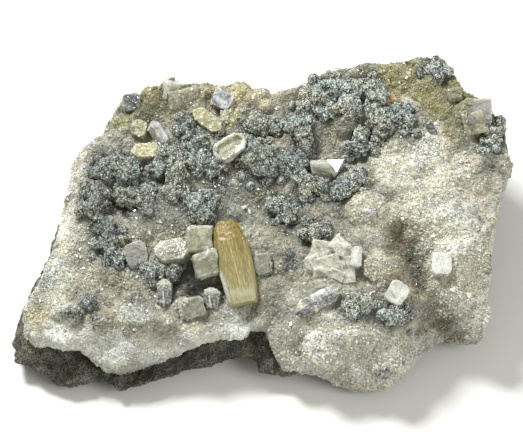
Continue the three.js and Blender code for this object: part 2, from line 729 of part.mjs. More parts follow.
// The origin goes to the foot, under the middle of the bounding box.
const box = new THREE.Box3().setFromObject(specimen);
const middle = box.getCenter(new THREE.Vector3());
specimen.position.set(-middle.x, -middle.y, -box.min.z);

export default specimen;
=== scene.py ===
# A hand-sized plate of basalt under a crust of drusy quartz. One honey-coloured heulandite crystal lies on
# it, among pale blocks, blades and tablets and many groups of grainy grey-green knobs.
import math

import bpy
import numpy as np
from mathutils import Matrix, Quaternion, Vector
from mathutils.bvhtree import BVHTree
from mathutils.kdtree import KDTree


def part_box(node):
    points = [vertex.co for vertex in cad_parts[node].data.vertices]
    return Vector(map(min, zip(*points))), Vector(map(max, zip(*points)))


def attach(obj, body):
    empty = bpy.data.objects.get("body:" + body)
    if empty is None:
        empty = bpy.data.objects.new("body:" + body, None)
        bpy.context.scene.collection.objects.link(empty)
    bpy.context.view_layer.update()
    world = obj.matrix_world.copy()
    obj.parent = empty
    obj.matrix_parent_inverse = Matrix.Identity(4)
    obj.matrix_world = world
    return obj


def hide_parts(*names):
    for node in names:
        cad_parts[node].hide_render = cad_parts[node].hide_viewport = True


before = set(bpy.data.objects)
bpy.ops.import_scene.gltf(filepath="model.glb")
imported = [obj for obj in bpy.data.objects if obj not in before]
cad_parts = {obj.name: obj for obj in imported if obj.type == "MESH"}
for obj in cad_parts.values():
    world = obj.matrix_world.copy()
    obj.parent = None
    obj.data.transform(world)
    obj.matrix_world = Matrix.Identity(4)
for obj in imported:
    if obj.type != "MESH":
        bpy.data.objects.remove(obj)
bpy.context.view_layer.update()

MM = 0.001
VIEW_ANGLE = math.radians(60)  # how far the camera looks down
VIEW_LEVEL = 20  # height in mm of the level that the view's middle lies on
PLATE_SHIFT = (-0.428, -1.037)  # mm from the view's middle to the frame's, across and in depth
SEEN_MIDDLE = (0.1, 1.5)  # mm across and up the view to the picture's middle
PICTURE_WIDTH = 116.2  # mm across the view that the picture takes in
LENS = 300
SENSOR = 36
KEY_PLACE = (-0.28, 0.3, 0.55)  # m

CRUST = "quartz_crust"
ROCK = "basalt_matrix"
KNOBS = sorted(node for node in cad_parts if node.startswith("grey_knobs"))

# Colours as the eye sees them, 0 to 1
DRUSE = (0.67, 0.66, 0.61)
CHALK = (0.91, 0.91, 0.87)
CREAM = (0.86, 0.85, 0.78)
SAND = (0.76, 0.71, 0.62)
LINEN = (0.78, 0.78, 0.73)
TAN = (0.73, 0.69, 0.56)
OLIVE = (0.56, 0.54, 0.38)
MOSS = (0.44, 0.43, 0.32)
FAWN = (0.51, 0.5, 0.44)
RUST = (0.8, 0.7, 0.5)
SMOKE = (0.57, 0.57, 0.52)
ASH = (0.5, 0.52, 0.49)
SHADE = (0.4, 0.37, 0.31)
# painted shadow for the dark gap left of the heulandite's foot
GAP_SHADOW = (0.3, 0.32, 0.295)
# painted shade in the crust round the knobs
KNOB_GAP_SHADE = (0.33, 0.35, 0.33)

# Patches of the crust's colour, as seen: across, up, reach across, reach up, colour, strength. The darkest,
# in the groove between the right mounds and in the gap left of the heulandite's foot, are painted shade.
PATCHES = [
    (8.7, 4, 20, 11, SMOKE, 0.7),
    (3.6, -17.4, 5.5, 6.5, FAWN, 0.95),
    (-31, -16, 13, 7, FAWN, 0.5),
    (-21, 4, 9, 5, SMOKE, 0.5),
    (9, -22, 11, 6, DRUSE, 0.6),
    (-44.5, 4, 4, 9, CHALK, 0.95),
    (-46.5, -8, 5.5, 8, LINEN, 0.95),
    (-46.5, -19, 6.5, 7, LINEN, 0.9),
    (-44, -26, 9, 4, CHALK, 0.95),
    (-44.3, 3.4, 0.9, 1.9, MOSS, 0.9),
    (-46.6, -4.6, 1, 2.2, MOSS, 0.9),
    (-35, -28.5, 8, 4.5, CHALK, 0.85),
    (-24.5, -28, 8, 3.4, CHALK, 0.7),
    (-13, -26, 8, 3, CHALK, 0.85),
    (-4.5, -23, 6, 2.6, CHALK, 0.75),
    (-41, 14, 3, 5, CHALK, 0.5),
    (37.5, 6, 10, 13, CREAM, 0.95),
    (30, 14, 7, 5, CREAM, 0.85),
    (44, -5, 8, 12, CREAM, 0.9),
    (45.5, -19, 7.5, 7, CREAM, 1),
    (17, -28, 15, 8, CREAM, 1),
    (28, -29, 8, 8, CREAM, 0.9),
    (27, -9.5, 5.5, 4.5, SAND, 0.4),
    (23.5, 4, 4, 4, CREAM, 0.55),
    (-20, -23.5, 9, 2.6, SAND, 0.45),
    (-49.5, -21, 2.4, 3, TAN, 0.8),
    (-4.5, 26.5, 7.5, 4, SAND, 0.9),
    (38, 31, 12, 6, OLIVE, 0.95),
    (43.5, 25.5, 8, 6, OLIVE, 0.8),
    (31, 33, 9, 3.4, OLIVE, 0.8),
    (-20, 28.5, 10, 4.5, MOSS, 1),
    (-27, 23.5, 6, 4.5, MOSS, 0.8),
    (29.6, 27.2, 1.9, 1.3, RUST, 0.95),
    (37.8, 21.3, 1.9, 2.1, CREAM, 0.9),
    (35.3, 34.2, 1.7, 1.9, CREAM, 0.8),
    (31.5, 26, 3.5, 1.6, CREAM, 0.7),
    (17.5, 24, 6, 3, SMOKE, 0.8),
    (50.5, 18.5, 4, 6, ASH, 0.8),
    (40, 34.6, 4, 2, ASH, 0.7),
    (-16, 6, 20, 12, ASH, 0.45),
    # painted shade in the groove between the right mounds
    (39.5, -22.5, 4, 1.8, SHADE, 0.8),
    (31, -4, 4, 3, SHADE, 0.7),
    # painted shadow in the dark gap left of the heulandite's foot
    (-14, -13.6, 6, 2.8, GAP_SHADOW, 0.9),
    (-17, -9.8, 3, 2.6, GAP_SHADOW, 0.7),
]

# Lone grainy grey patches in the crust, as seen: across, up, reach across and up, colour
GRITTY = [
    (-38.1, -17.6, 2.1, 1.9, (0.42, 0.45, 0.43)),
    (-41.8, -19.8, 3, 1.3, (0.36, 0.38, 0.33)),
    (-36.6, -21.4, 1.2, 2, (0.44, 0.45, 0.41)),
    (-28, -17.4, 1.7, 1.4, (0.46, 0.48, 0.45)),
    (26.9, -32.9, 1.9, 1.4, (0.4, 0.42, 0.42)),
    (-30, -9.4, 2.4, 1.4, (0.42, 0.44, 0.4)),
    (-33.5, -5.5, 3, 1.8, (0.44, 0.45, 0.38)),
    (6.4, -8.6, 1.8, 2.8, (0.38, 0.4, 0.38)),
    (28.3, 28, 0.9, 0.5, (0.6, 0.4, 0.16)),
    (30.8, 28.2, 0.7, 0.5, (0.5, 0.32, 0.14)),
    (29.6, 26.4, 0.9, 0.4, (0.32, 0.25, 0.16)),
]
GRAINY = 8  # so many of them, from the first, are covered with slivers

# The groove between the two right mounds, as seen: across and up along it, its reach and its depth, in mm.
# The crust is sunk along it and darkened there with painted shade.
GROOVE = [(30.5, -2), (32.5, -6.5), (35, -12), (37, -17), (39.5, -22), (43, -25)]
GROOVE_REACH = 2.5
GROOVE_DEPTH = 1.5

# Marks on the crystals, as seen: a line of places across and up, its reach, colour and strength. The pale
# marks are mostly painted highlights on edges, ridges and lit faces.
PALE_HIGHLIGHT = (0.93, 0.94, 0.91)
DUSK = (0.36, 0.37, 0.33)
OAT = (0.76, 0.75, 0.66)
STRAW = (0.8, 0.76, 0.57)
MIST = (0.54, 0.54, 0.49)
LILAC_HIGHLIGHT = (0.86, 0.85, 0.85)
AMBER = (0.56, 0.43, 0.15)
MARKS = {
    "pale_block_group": [
        ([(-16.2, -0.5), (-10.4, -0.9)], 0.22, PALE_HIGHLIGHT, 1.5),
        ([(-16.2, -0.5), (-16.9, -5.6)], 0.2, PALE_HIGHLIGHT, 1),
        ([(-13.2, -1.2), (-12.6, -4.6)], 0.5, PALE_HIGHLIGHT, 0.5),
        ([(-12, -5.2), (-11.7, -6.3), (-12.3, -7.4), (-13.6, -8.1)], 0.3, PALE_HIGHLIGHT, 1.7),
        ([(-13.9, -5.4), (-13, -4.9), (-12, -5.2)], 0.3, DUSK, 1.1),
        ([(-13.4, -6), (-12.8, -6.7)], 0.7, DUSK, 0.8),
        ([(-15.4, -8.6), (-14, -11.9), (-12.2, -11.4)], 0.3, PALE_HIGHLIGHT, 1.3),
        ([(-12.2, -9.4), (-10.8, -10.4)], 0.8, DUSK, 0.5),
        ([(-23.4, -6.6), (-21.6, -4.6), (-18.4, -4), (-16.8, -5)], 0.25, PALE_HIGHLIGHT, 0.9),
        ([(-22, -7), (-20.6, -5.3), (-18.3, -4.8), (-17.3, -5.8)], 0.2, PALE_HIGHLIGHT, 0.6),
        ([(-23, -8.3), (-20, -8.9), (-17, -7.6)], 0.22, PALE_HIGHLIGHT, 0.7),
        ([(-22, -7), (-18, -6)], 2.6, MIST, 1.4),
        ([(-13.8, -9.4), (-12.4, -8.6)], 1.8, MIST, 0.7),
        ([(-21.6, -6.2), (-20.2, -5.6), (-18.4, -5.3)], 0.15, DUSK, 0.4),
        ([(-21.4, -7.2), (-19.4, -6.8), (-17.9, -6.4)], 0.15, DUSK, 0.4),
        ([(-22.8, -7.8), (-20, -8.2), (-17.6, -7)], 0.35, DUSK, 0.6),
    ],
    "dish_tablet": [
        ([(-9.8, 13.6), (-8.2, 13.2), (-6, 14.6), (-4.2, 17), (-3.9, 19.2)], 0.5, PALE_HIGHLIGHT, 1.2),
        ([(-9.9, 14.2), (-8.8, 16), (-6.4, 17.6)], 0.3, PALE_HIGHLIGHT, 0.6),
        ([(-8.4, 15), (-5.6, 17.6)], 0.9, DUSK, 0.55),
    ],
    "clear_wedge": [
        ([(11.2, 14.7), (18.4, 14.3)], 0.3, PALE_HIGHLIGHT, 1.7),
        ([(11.6, 13.6), (14.6, 13)], 1, PALE_HIGHLIGHT, 1.1),
        # painted shade on the wedge's lower face
        ([(12, 12), (14.8, 11.2), (16.2, 10.3)], 0.6, MOSS, 1.3),
    ],
    "white_block": [
        ([(38.2, -7.4), (37.8, -9.3), (38.2, -11)], 0.4, PALE_HIGHLIGHT, 1.5),
        ([(39.4, -7.6), (39.2, -10.6)], 0.3, PALE_HIGHLIGHT, 1.2),
        ([(40.6, -7.8), (40.6, -10)], 0.5, PALE_HIGHLIGHT, 1),
    ],
    "white_leaning_blade": [
        ([(28, -17.4), (29.6, -17.2), (31.4, -15.4)], 0.35, PALE_HIGHLIGHT, 1.8),
        ([(29, -14.4), (30.8, -15.6)], 1, PALE_HIGHLIGHT, 0.8),
        ([(28.6, -15.2), (29.4, -16.4)], 0.3, DUSK, 0.8),
    ],
    "white_upright_blade": [
        ([(20.7, -6.6), (20.9, -8.6)], 0.5, PALE_HIGHLIGHT, 1.8),
    ],
    "cream_blade_cluster": [
        ([(12, -6.4), (14.5, -7.8), (15.5, -10)], 0.4, PALE_HIGHLIGHT, 0.8),
        ([(10.6, -9.6), (13, -10.6), (16.4, -12)], 0.35, PALE_HIGHLIGHT, 0.7),
        ([(16.6, -5.6), (18.4, -8)], 0.35, DUSK, 0.4),
        ([(13, -12.2), (16, -12.6)], 0.4, DUSK, 0.5),
    ],
    "grey_tooth": [
        ([(-22.6, 21.8), (-21.2, 19.4)], 0.5, PALE_HIGHLIGHT, 1.4),
        ([(-21.6, 21.4), (-20.4, 18.8)], 0.3, DUSK, 0.8),
    ],
    "bluish_block": [
        ([(-10.8, 28.4), (-9.6, 28.2), (-8.8, 27.2)], 0.3, PALE_HIGHLIGHT, 0.9),
        ([(-10.4, 27), (-9.4, 26.2)], 0.5, DUSK, 1),
        ([(-8, 28.6), (-7.2, 28)], 0.4, DUSK, 0.8),
        ([(-8.8, 26), (-7.2, 25.8), (-6.6, 27)], 0.35, PALE_HIGHLIGHT, 1),
    ],
    "square_corner_crystal": [
        ([(47.6, 27.4), (51.2, 27.5), (51.3, 24.4)], 0.25, PALE_HIGHLIGHT, 1.2),
        # painted highlight on the square crystal's lower left
        ([(47.4, 24), (50, 26.2)], 1, LILAC_HIGHLIGHT, 0.9),
        # painted shade left of and below the square crystal
        ([(45.4, 26.8), (45.6, 22.4), (50.6, 22.2)], 1.1, MOSS, 0.9),
    ],
    "west_block": [
        ([(-29.4, -4.6), (-25.6, -4.8)], 0.25, PALE_HIGHLIGHT, 0.5),
        ([(-25.6, -4.8), (-25.4, -9)], 0.25, PALE_HIGHLIGHT, 0.4),
    ],
    "coated_long_crystal": [
        ([(8.4, -20), (9.4, -20.6), (10.6, -20)], 0.9, DUSK, 1.8),
        ([(8.3, -17.6), (8.6, -18.8)], 0.7, OAT, 1.7),
        ([(11.8, -18.4), (12.4, -19.4)], 0.5, OAT, 1.6),
        ([(9.9, -17.2), (11.2, -18)], 0.7, DUSK, 1.6),
        ([(13.4, -16.2), (14.6, -17.4)], 0.5, DUSK, 1.4),
        ([(15.6, -15.9), (15.8, -16.9)], 0.5, DUSK, 1.3),
        ([(12, -16.4), (12.6, -16.9)], 0.35, DUSK, 1.2),
        ([(11.6, -15.8), (13.6, -15)], 0.5, PALE_HIGHLIGHT, 1),
        ([(15.8, -15.2), (17, -15.4)], 0.5, OAT, 1.2),
    ],
    "coated_stub_west": [
        ([(-22.8, -13.6), (-20, -13.2)], 0.8, OAT, 0.9),
        ([(-22.9, -15.4), (-22.7, -18.6)], 0.22, DUSK, 1.4),
        ([(-22, -15.6), (-21.8, -19)], 0.2, DUSK, 1.4),
        ([(-21.2, -15.2), (-21, -18.8)], 0.22, DUSK, 1.4),
        ([(-20.3, -15.4), (-20.1, -18.4)], 0.22, DUSK, 1.4),
        ([(-21.6, -15.4), (-21.4, -18.4)], 0.18, PALE_HIGHLIGHT, 1),
        ([(-23.2, -19), (-20, -19.2)], 0.5, DUSK, 1.2),
    ],
    "coated_stub_middle": [
        ([(-13.2, -14.8), (-9.6, -14.7)], 0.8, OAT, 0.9),
        ([(-12.8, -16.4), (-12.5, -19)], 0.24, DUSK, 1.4),
        ([(-11.9, -16.6), (-11.5, -19.4)], 0.22, DUSK, 1.4),
        ([(-11, -16.2), (-10.6, -19)], 0.24, DUSK, 1.4),
        ([(-10, -16.4), (-9.8, -18.6)], 0.22, DUSK, 1.4),
        ([(-11.4, -16.2), (-11.2, -18.4)], 0.18, PALE_HIGHLIGHT, 1),
    ],
    "heulandite": [
        ([(-9, -11.2), (-8, -14), (-7.1, -17.2)], 0.55, PALE_HIGHLIGHT, 1),
        ([(-6.9, -15.6), (-2, -15.4)], 1.2, PALE_HIGHLIGHT, 0.25),
        # painted highlight along the heulandite's right edge
        ([(-3.3, -4), (-2, -9), (-1.3, -15)], 0.3, STRAW, 0.7),
        ([(-6.6, -6), (-5, -12), (-4.4, -15)], 0.16, STRAW, 0.5),
    ],
}
WHITE_FACE = [(14.7, 14), (18.5, 14.1), (16.8, 11.3)]  # the clear wedge's bright triangle, as seen


def linear(colour):
    """A colour as the eye sees it, as amounts of light."""
    return tuple(c / 12.92 if c < 0.04 else ((c + 0.055) / 1.055) ** 2.4 for c in colour)


# Places in the view

LOOK_UP = Vector((0, math.sin(VIEW_ANGLE), math.cos(VIEW_ANGLE)))
TO_CAMERA = Vector((0, -math.cos(VIEW_ANGLE), math.sin(VIEW_ANGLE)))
VIEW_MIDDLE = Vector((PLATE_SHIFT[0] * MM, PLATE_SHIFT[1] * MM, VIEW_LEVEL * MM))


def seen(points):
    """Millimetres across and up the view of points in metres."""
    across = points[:, 0] / MM - PLATE_SHIFT[0]
    depth = points[:, 1] / MM - PLATE_SHIFT[1]
    up = depth * math.sin(VIEW_ANGLE) + (points[:, 2] / MM - VIEW_LEVEL) * math.cos(VIEW_ANGLE)
    return across, up


def line_distance(across, up, line):
    """Millimetres in the view from each place to a line of places."""
    nearest = np.full(len(across), 1e9)
    for (x0, y0), (x1, y1) in zip(line, line[1:]):
        along = ((across - x0) * (x1 - x0) + (up - y0) * (y1 - y0)) / ((x1 - x0) ** 2 + (y1 - y0) ** 2)
        along = np.clip(along, 0, 1)
        away = np.hypot(across - x0 - along * (x1 - x0), up - y0 - along * (y1 - y0))
        nearest = np.minimum(nearest, away)
    return nearest


def oval_distance(across, up, x, y, reach_x, reach_y):
    """The squared distance of each place from an oval's middle, 1 on the oval."""
    return ((across - x) / reach_x) ** 2 + ((up - y) / reach_y) ** 2


def blended(colours, share, colour):
    """Colours moved by each place's share towards one colour as the eye sees it."""
    share = share[:, None]
    return colours * (1 - share) + share * linear(colour)


# Mesh helpers


def select_only(obj):
    bpy.ops.object.select_all(action="DESELECT")
    obj.select_set(True)
    bpy.context.view_layer.objects.active = obj


def apply_modifier(obj, kind, **settings):
    modifier = obj.modifiers.new(kind.lower(), kind)
    for key, value in settings.items():
        setattr(modifier, key, value)
    select_only(obj)
    bpy.ops.object.modifier_apply(modifier=modifier.name)


def new_piece(name, mesh):
    obj = bpy.data.objects.new(name, mesh)
    bpy.context.scene.collection.objects.link(obj)
    return obj


def piece_like(node, name):
    """A new piece in the shape of a CAD node, its loose triangles merged."""
    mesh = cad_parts[node].data.copy()
    mesh.materials.clear()
    piece = new_piece(name, mesh)
    select_only(piece)
    bpy.ops.object.mode_set(mode="EDIT")
    bpy.ops.mesh.select_all(action="SELECT")
    bpy.ops.mesh.customdata_custom_splitnormals_clear()
    bpy.ops.mesh.remove_doubles(threshold=1e-6)
    bpy.ops.object.mode_set(mode="OBJECT")
    return piece


def mesh_from(name, points, faces):
    mesh = bpy.data.meshes.new(name)
    mesh.from_pydata(points.reshape(-1, 3).tolist(), [], faces.reshape(-1, faces.shape[-1]).tolist())
    mesh.update()
    return mesh


def copies_of(unit_points, unit_faces, frames, middles):
    """Points and faces of many copies of one small shape, each turned and sized by its own 3x3 frame."""
    points = np.einsum("nij,kj->nki", frames, unit_points) + middles[:, None, :]
    steps = np.arange(len(middles))[:, None, None] * len(unit_points)
    return points, unit_faces[None] + steps


def join_into(piece, others):
    select_only(piece)
    for other in others:
        other.select_set(True)
    bpy.ops.object.join()


def points_of(mesh, what="co"):
    flat = np.empty(len(mesh.vertices) * 3)
    mesh.vertices.foreach_get(what, flat)
    return flat.reshape(-1, 3)


def normals_of(mesh):
    return points_of(mesh, "normal")


def put_points(piece, points):
    piece.data.vertices.foreach_set("co", points.ravel())
    piece.data.update()


def tree_of(objects):
    """One search tree over the faces of several objects."""
    points = []
    faces = []
    for obj in objects:
        start = len(points)
        points += [v.co.copy() for v in obj.data.vertices]
        faces += [[start + i for i in p.vertices] for p in obj.data.polygons]
    return BVHTree.FromPolygons(points, faces)


def keep_off_floor(piece):
    points = points_of(piece.data)
    points[:, 2] = np.maximum(points[:, 2], 0)
    put_points(piece, points)


def write_tint(mesh, colours, shares=1):
    """Keeps a colour for each vertex, and how far it replaces the material's own, in the attribute tint."""
    tint = mesh.color_attributes.new("tint", "FLOAT_COLOR", "POINT")
    flat = np.ones((len(mesh.vertices), 4), np.float32)
    flat[:, :3] = colours
    flat[:, 3] = shares
    tint.data.foreach_set("color", flat.ravel())


def bulge_of(mesh, rounds):
    """How far each vertex stands out from its surroundings, in mm. The rounds widen them."""
    ends = np.empty(len(mesh.edges) * 2, int)
    mesh.edges.foreach_get("vertices", ends)
    ends = ends.reshape(-1, 2)
    ends = np.concatenate([ends, ends[:, ::-1]])
    count = np.bincount(ends[:, 0], minlength=len(mesh.vertices))[:, None]

    def around(values):
        total = np.zeros(values.shape)
        np.add.at(total, ends[:, 0], values[ends[:, 1]])
        return total / np.maximum(count, 1)

    points = points_of(mesh)
    lap = points
    for _ in range(rounds):
        lap = around(lap)
    bulge = ((points - lap) * normals_of(mesh)).sum(1)[:, None]
    return around(bulge)[:, 0] / MM


MARK_STRENGTH = 0.55  # of every mark, before its own strength
EDGE_BULGE = 0.05  # mm that a sharp edge stands out from its surroundings


def paint_marks(piece, marks, ridge, edges):
    """Lightens a crystal's edges by a share, a painted highlight, and paints its marks, pale ones raised
    and dark ones sunk.
    """
    points = points_of(piece.data)
    normals = normals_of(piece.data)
    across, up = seen(points)
    facing = np.clip(normals @ np.array(TO_CAMERA) * 3, 0, 1)
    colours = np.tile(linear(PALE_HIGHLIGHT), (len(points), 1))
    # a painted highlight on the crystal's sharp edges, by how far they stand out
    shares = edges * np.clip(bulge_of(piece.data, 3) / EDGE_BULGE - 0.35, 0, 1)
    for line, reach, colour, strength in marks:
        away = line_distance(across, up, line) / reach
        share = facing * strength * MARK_STRENGTH * np.exp(-(away**2))
        colours = blended(colours, share / np.maximum(share + shares, 1e-6), colour)
        shares = np.maximum(shares, share)
        height = {PALE_HIGHLIGHT: ridge, DUSK: -2 * ridge}.get(colour, 0)
        points += normals * (share * height * MM)[:, None]
    put_points(piece, points)
    write_tint(piece.data, colours, shares)


def finish_piece(piece, material, slot, *nodes):
    piece.data.materials.clear()
    piece.data.materials.append(material)
    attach(piece, "root")
    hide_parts(*nodes)


# Relief: layers of noise that move a surface in and out and keep their sum in the attribute relief


def relief_tree(name, layers, axis=None, along=1.0):
    """Each layer is a kind, a size and a height in mm, and steps are noise cut into terraces.

    Along an axis, sizes are that much longer.
    """
    tree = bpy.data.node_groups.new(name, "GeometryNodeTree")
    tree.interface.new_socket("Geometry", in_out="INPUT", socket_type="NodeSocketGeometry")
    tree.interface.new_socket("Geometry", in_out="OUTPUT", socket_type="NodeSocketGeometry")
    nodes = tree.nodes
    link = tree.links.new

    def math_node(operation, first, second):
        node = nodes.new("ShaderNodeMath")
        node.operation = operation
        for socket, value in zip(node.inputs, (first, second)):
            if isinstance(value, (int, float)):
                socket.default_value = value
            else:
                link(value, socket)
        return node.outputs[0]

    place = nodes.new("GeometryNodeInputPosition").outputs[0]
    if axis:
        reach = nodes.new("ShaderNodeVectorMath")
        reach.operation = "DOT_PRODUCT"
        reach.inputs[1].default_value = axis
        link(place, reach.inputs[0])
        back = nodes.new("ShaderNodeVectorMath")
        back.operation = "SCALE"
        back.inputs[0].default_value = axis
        link(math_node("MULTIPLY", reach.outputs["Value"], 1 / along - 1), back.inputs["Scale"])
        pressed = nodes.new("ShaderNodeVectorMath")
        link(place, pressed.inputs[0])
        link(back.outputs[0], pressed.inputs[1])
        place = pressed.outputs[0]

    total = 0.0
    for kind, size, height in layers:
        texture = nodes.new("ShaderNodeTexVoronoi" if kind == "cells" else "ShaderNodeTexNoise")
        texture.inputs["Scale"].default_value = 1 / (size * MM)
        link(place, texture.inputs["Vector"])
        if kind == "cells":
            swell = math_node("SUBTRACT", 0.45, texture.outputs["Distance"])
        elif kind == "steps":
            texture.inputs["Detail"].default_value = 1
            swell = math_node("SUBTRACT", math_node("SNAP", texture.outputs[0], 0.1), 0.45)
        else:
            texture.inputs["Detail"].default_value = 2
            swell = math_node("SUBTRACT", texture.outputs[0], 0.5)
        total = math_node("ADD", math_node("MULTIPLY", swell, 2 * height * MM), total)

    offset = nodes.new("ShaderNodeVectorMath")
    offset.operation = "SCALE"
    link(nodes.new("GeometryNodeInputNormal").outputs[0], offset.inputs[0])
    link(total, offset.inputs["Scale"])
    keep = nodes.new("GeometryNodeStoreNamedAttribute")
    keep.inputs["Name"].default_value = "relief"
    link(nodes.new("NodeGroupInput").outputs[0], keep.inputs["Geometry"])
    deepest = sum(height for _, _, height in layers) * MM
    link(math_node("ADD", math_node("DIVIDE", total, 2 * deepest), 0.5), keep.inputs["Value"])
    move = nodes.new("GeometryNodeSetPosition")
    link(keep.outputs[0], move.inputs["Geometry"])
    link(offset.outputs[0], move.inputs["Offset"])
    link(move.outputs[0], nodes.new("NodeGroupOutput").inputs[0])
    return tree


def roughen(piece, tree):
    apply_modifier(piece, "NODES", node_group=tree)


def remesh(piece, size, rounding=0):
    apply_modifier(piece, "REMESH", mode="VOXEL", voxel_size=size * MM)
    if rounding:
        apply_modifier(piece, "SMOOTH", factor=0.5, iterations=rounding)


# Materials


def set_sockets(node, **values):
    for key, value in values.items():
        node.inputs[key.replace("_", " ")].default_value = value


def new_material(name, **sockets):
    material = bpy.data.materials.new(name)
    material.use_nodes = True
    shader = material.node_tree.nodes["Principled BSDF"]
    set_sockets(shader, **sockets)
    return material, material.node_tree.nodes, material.node_tree.links.new, shader


def grain_group():
    """Fine noise on object coordinates: a grain from 0 to 1, specks, and a normal bumped by the grain."""
    tree = bpy.data.node_groups.new("grain", "ShaderNodeTree")
    for socket, value in (("Size", 0.5), ("Speck Share", 0.35), ("Bump", 0.3)):
        made = tree.interface.new_socket(socket, in_out="INPUT", socket_type="NodeSocketFloat")
        made.default_value = value
    tree.interface.new_socket("Grain", in_out="OUTPUT", socket_type="NodeSocketFloat")
    tree.interface.new_socket("Specks", in_out="OUTPUT", socket_type="NodeSocketFloat")
    tree.interface.new_socket("Normal", in_out="OUTPUT", socket_type="NodeSocketVector")
    nodes = tree.nodes
    link = tree.links.new
    start = nodes.new("NodeGroupInput")
    end = nodes.new("NodeGroupOutput")
    place = nodes.new("ShaderNodeTexCoord").outputs["Object"]
    scale = nodes.new("ShaderNodeMath")
    scale.operation = "DIVIDE"
    scale.inputs[0].default_value = 1 / MM
    link(start.outputs["Size"], scale.inputs[1])
    noise = nodes.new("ShaderNodeTexNoise")
    noise.inputs["Detail"].default_value = 3
    link(place, noise.inputs["Vector"])
    link(scale.outputs[0], noise.inputs["Scale"])
    cells = nodes.new("ShaderNodeTexVoronoi")
    link(place, cells.inputs["Vector"])
    link(scale.outputs[0], cells.inputs["Scale"])
    lit = nodes.new("ShaderNodeSeparateColor")
    link(cells.outputs["Color"], lit.inputs[0])
    chosen = nodes.new("ShaderNodeMath")
    chosen.operation = "LESS_THAN"
    link(lit.outputs[0], chosen.inputs[0])
    link(start.outputs["Speck Share"], chosen.inputs[1])
    bump = nodes.new("ShaderNodeBump")
    bump.inputs["Distance"].default_value = 0.2 * MM
    link(start.outputs["Bump"], bump.inputs["Strength"])
    link(noise.outputs[0], bump.inputs["Height"])
    link(noise.outputs[0], end.inputs["Grain"])
    link(chosen.outputs[0], end.inputs["Specks"])
    link(bump.outputs[0], end.inputs["Normal"])
    return tree


GRAIN = grain_group()


def grain(nodes, size, share=0.35, bump=0.3):
    node = nodes.new("ShaderNodeGroup")
    node.node_tree = GRAIN
    set_sockets(node, Size=size, Speck_Share=share, Bump=bump)
    return node


def ramp(nodes, link, factor, *stops):
    """Colours as the eye sees them, by a socket's value at each stop."""
    node = nodes.new("ShaderNodeValToRGB")
    link(factor, node.inputs[0])
    elements = node.color_ramp.elements
    while len(elements) < len(stops):
        elements.new(0.5)
    for element, (at, colour) in zip(elements, stops):
        element.position = at
        element.color = (*linear(colour), 1)
    return node.outputs[0]


def mix(nodes, link, kind, amount, first, second):
    """Mixes two colours, each a socket or a colour as the eye sees it, by a number or a socket."""
    node = nodes.new("ShaderNodeMix")
    node.data_type = "RGBA"
    node.blend_type = kind
    for index, value in ((0, amount), (6, first), (7, second)):
        if isinstance(value, (int, float)):
            node.inputs[index].default_value = value
        elif isinstance(value, tuple):
            node.inputs[index].default_value = (*linear(value), 1)
        else:
            link(value, node.inputs[index])
    return node.outputs[2]


def attribute(nodes, name, output):
    node = nodes.new("ShaderNodeAttribute")
    node.attribute_name = name
    return node.outputs[output]


def with_marks(nodes, link, plain):
    """A colour under the marks that the attribute tint keeps."""
    marks = attribute(nodes, "tint", "Color")
    return mix(nodes, link, "MIX", attribute(nodes, "tint", "Alpha"), plain, marks)


def tinted_material(name, size, bump, shade, **sockets):
    """A material in the piece's own tint, varied by grains of that size and bump and by a shade on them."""
    material, nodes, link, shader = new_material(name, **sockets)
    fine = grain(nodes, size, 0.3, bump)
    shaded = ramp(nodes, link, fine.outputs["Grain"], *shade)
    colour = mix(nodes, link, "MULTIPLY", 1, attribute(nodes, "tint", "Color"), shaded)
    link(colour, shader.inputs["Base Color"])
    link(fine.outputs["Normal"], shader.inputs["Normal"])
    return material


def quartz_material(name, size, bump, shade, roughness, clearness, milkiness, depth, glow=(1, 0.95, 0.85)):
    """Tinted quartz. Light reaches that many mm into it, by the glow's share for red, green and blue."""
    return tinted_material(
        name,
        size,
        bump,
        shade,
        Roughness=roughness,
        IOR=1.54,
        Transmission_Weight=clearness,
        Subsurface_Weight=milkiness,
        Subsurface_Scale=depth * MM,
        Subsurface_Radius=glow,
    )


def basalt_material():
    material, nodes, link, shader = new_material("broken_basalt", Roughness=0.85)
    coarse = grain(nodes, 2.4, 0.1, 0.4)
    fine = grain(nodes, 0.28, 0.14, 0.9)
    stone = ((0.35, (0.4, 0.41, 0.37)), (0.52, (0.46, 0.46, 0.41)), (0.7, (0.53, 0.505, 0.42)))
    body = ramp(nodes, link, coarse.outputs["Grain"], *stone)
    # darker in the hollows of the chipped relief
    edges = ramp(nodes, link, attribute(nodes, "relief", "Fac"), (0.3, (0.6, 0.6, 0.6)), (0.62, (1, 1, 1)))
    darker_in_hollows = mix(nodes, link, "MULTIPLY", 1, body, edges)
    grained = ramp(nodes, link, fine.outputs["Grain"], (0.4, (0.3, 0.3, 0.29)), (0.6, (1, 1, 1)))
    colour = mix(nodes, link, "MULTIPLY", 1, darker_in_hollows, grained)
    speckled = mix(nodes, link, "ADD", fine.outputs["Specks"], colour, (0.2, 0.2, 0.17))
    link(speckled, shader.inputs["Base Color"])
    link(fine.outputs["Normal"], shader.inputs["Normal"])
    return material


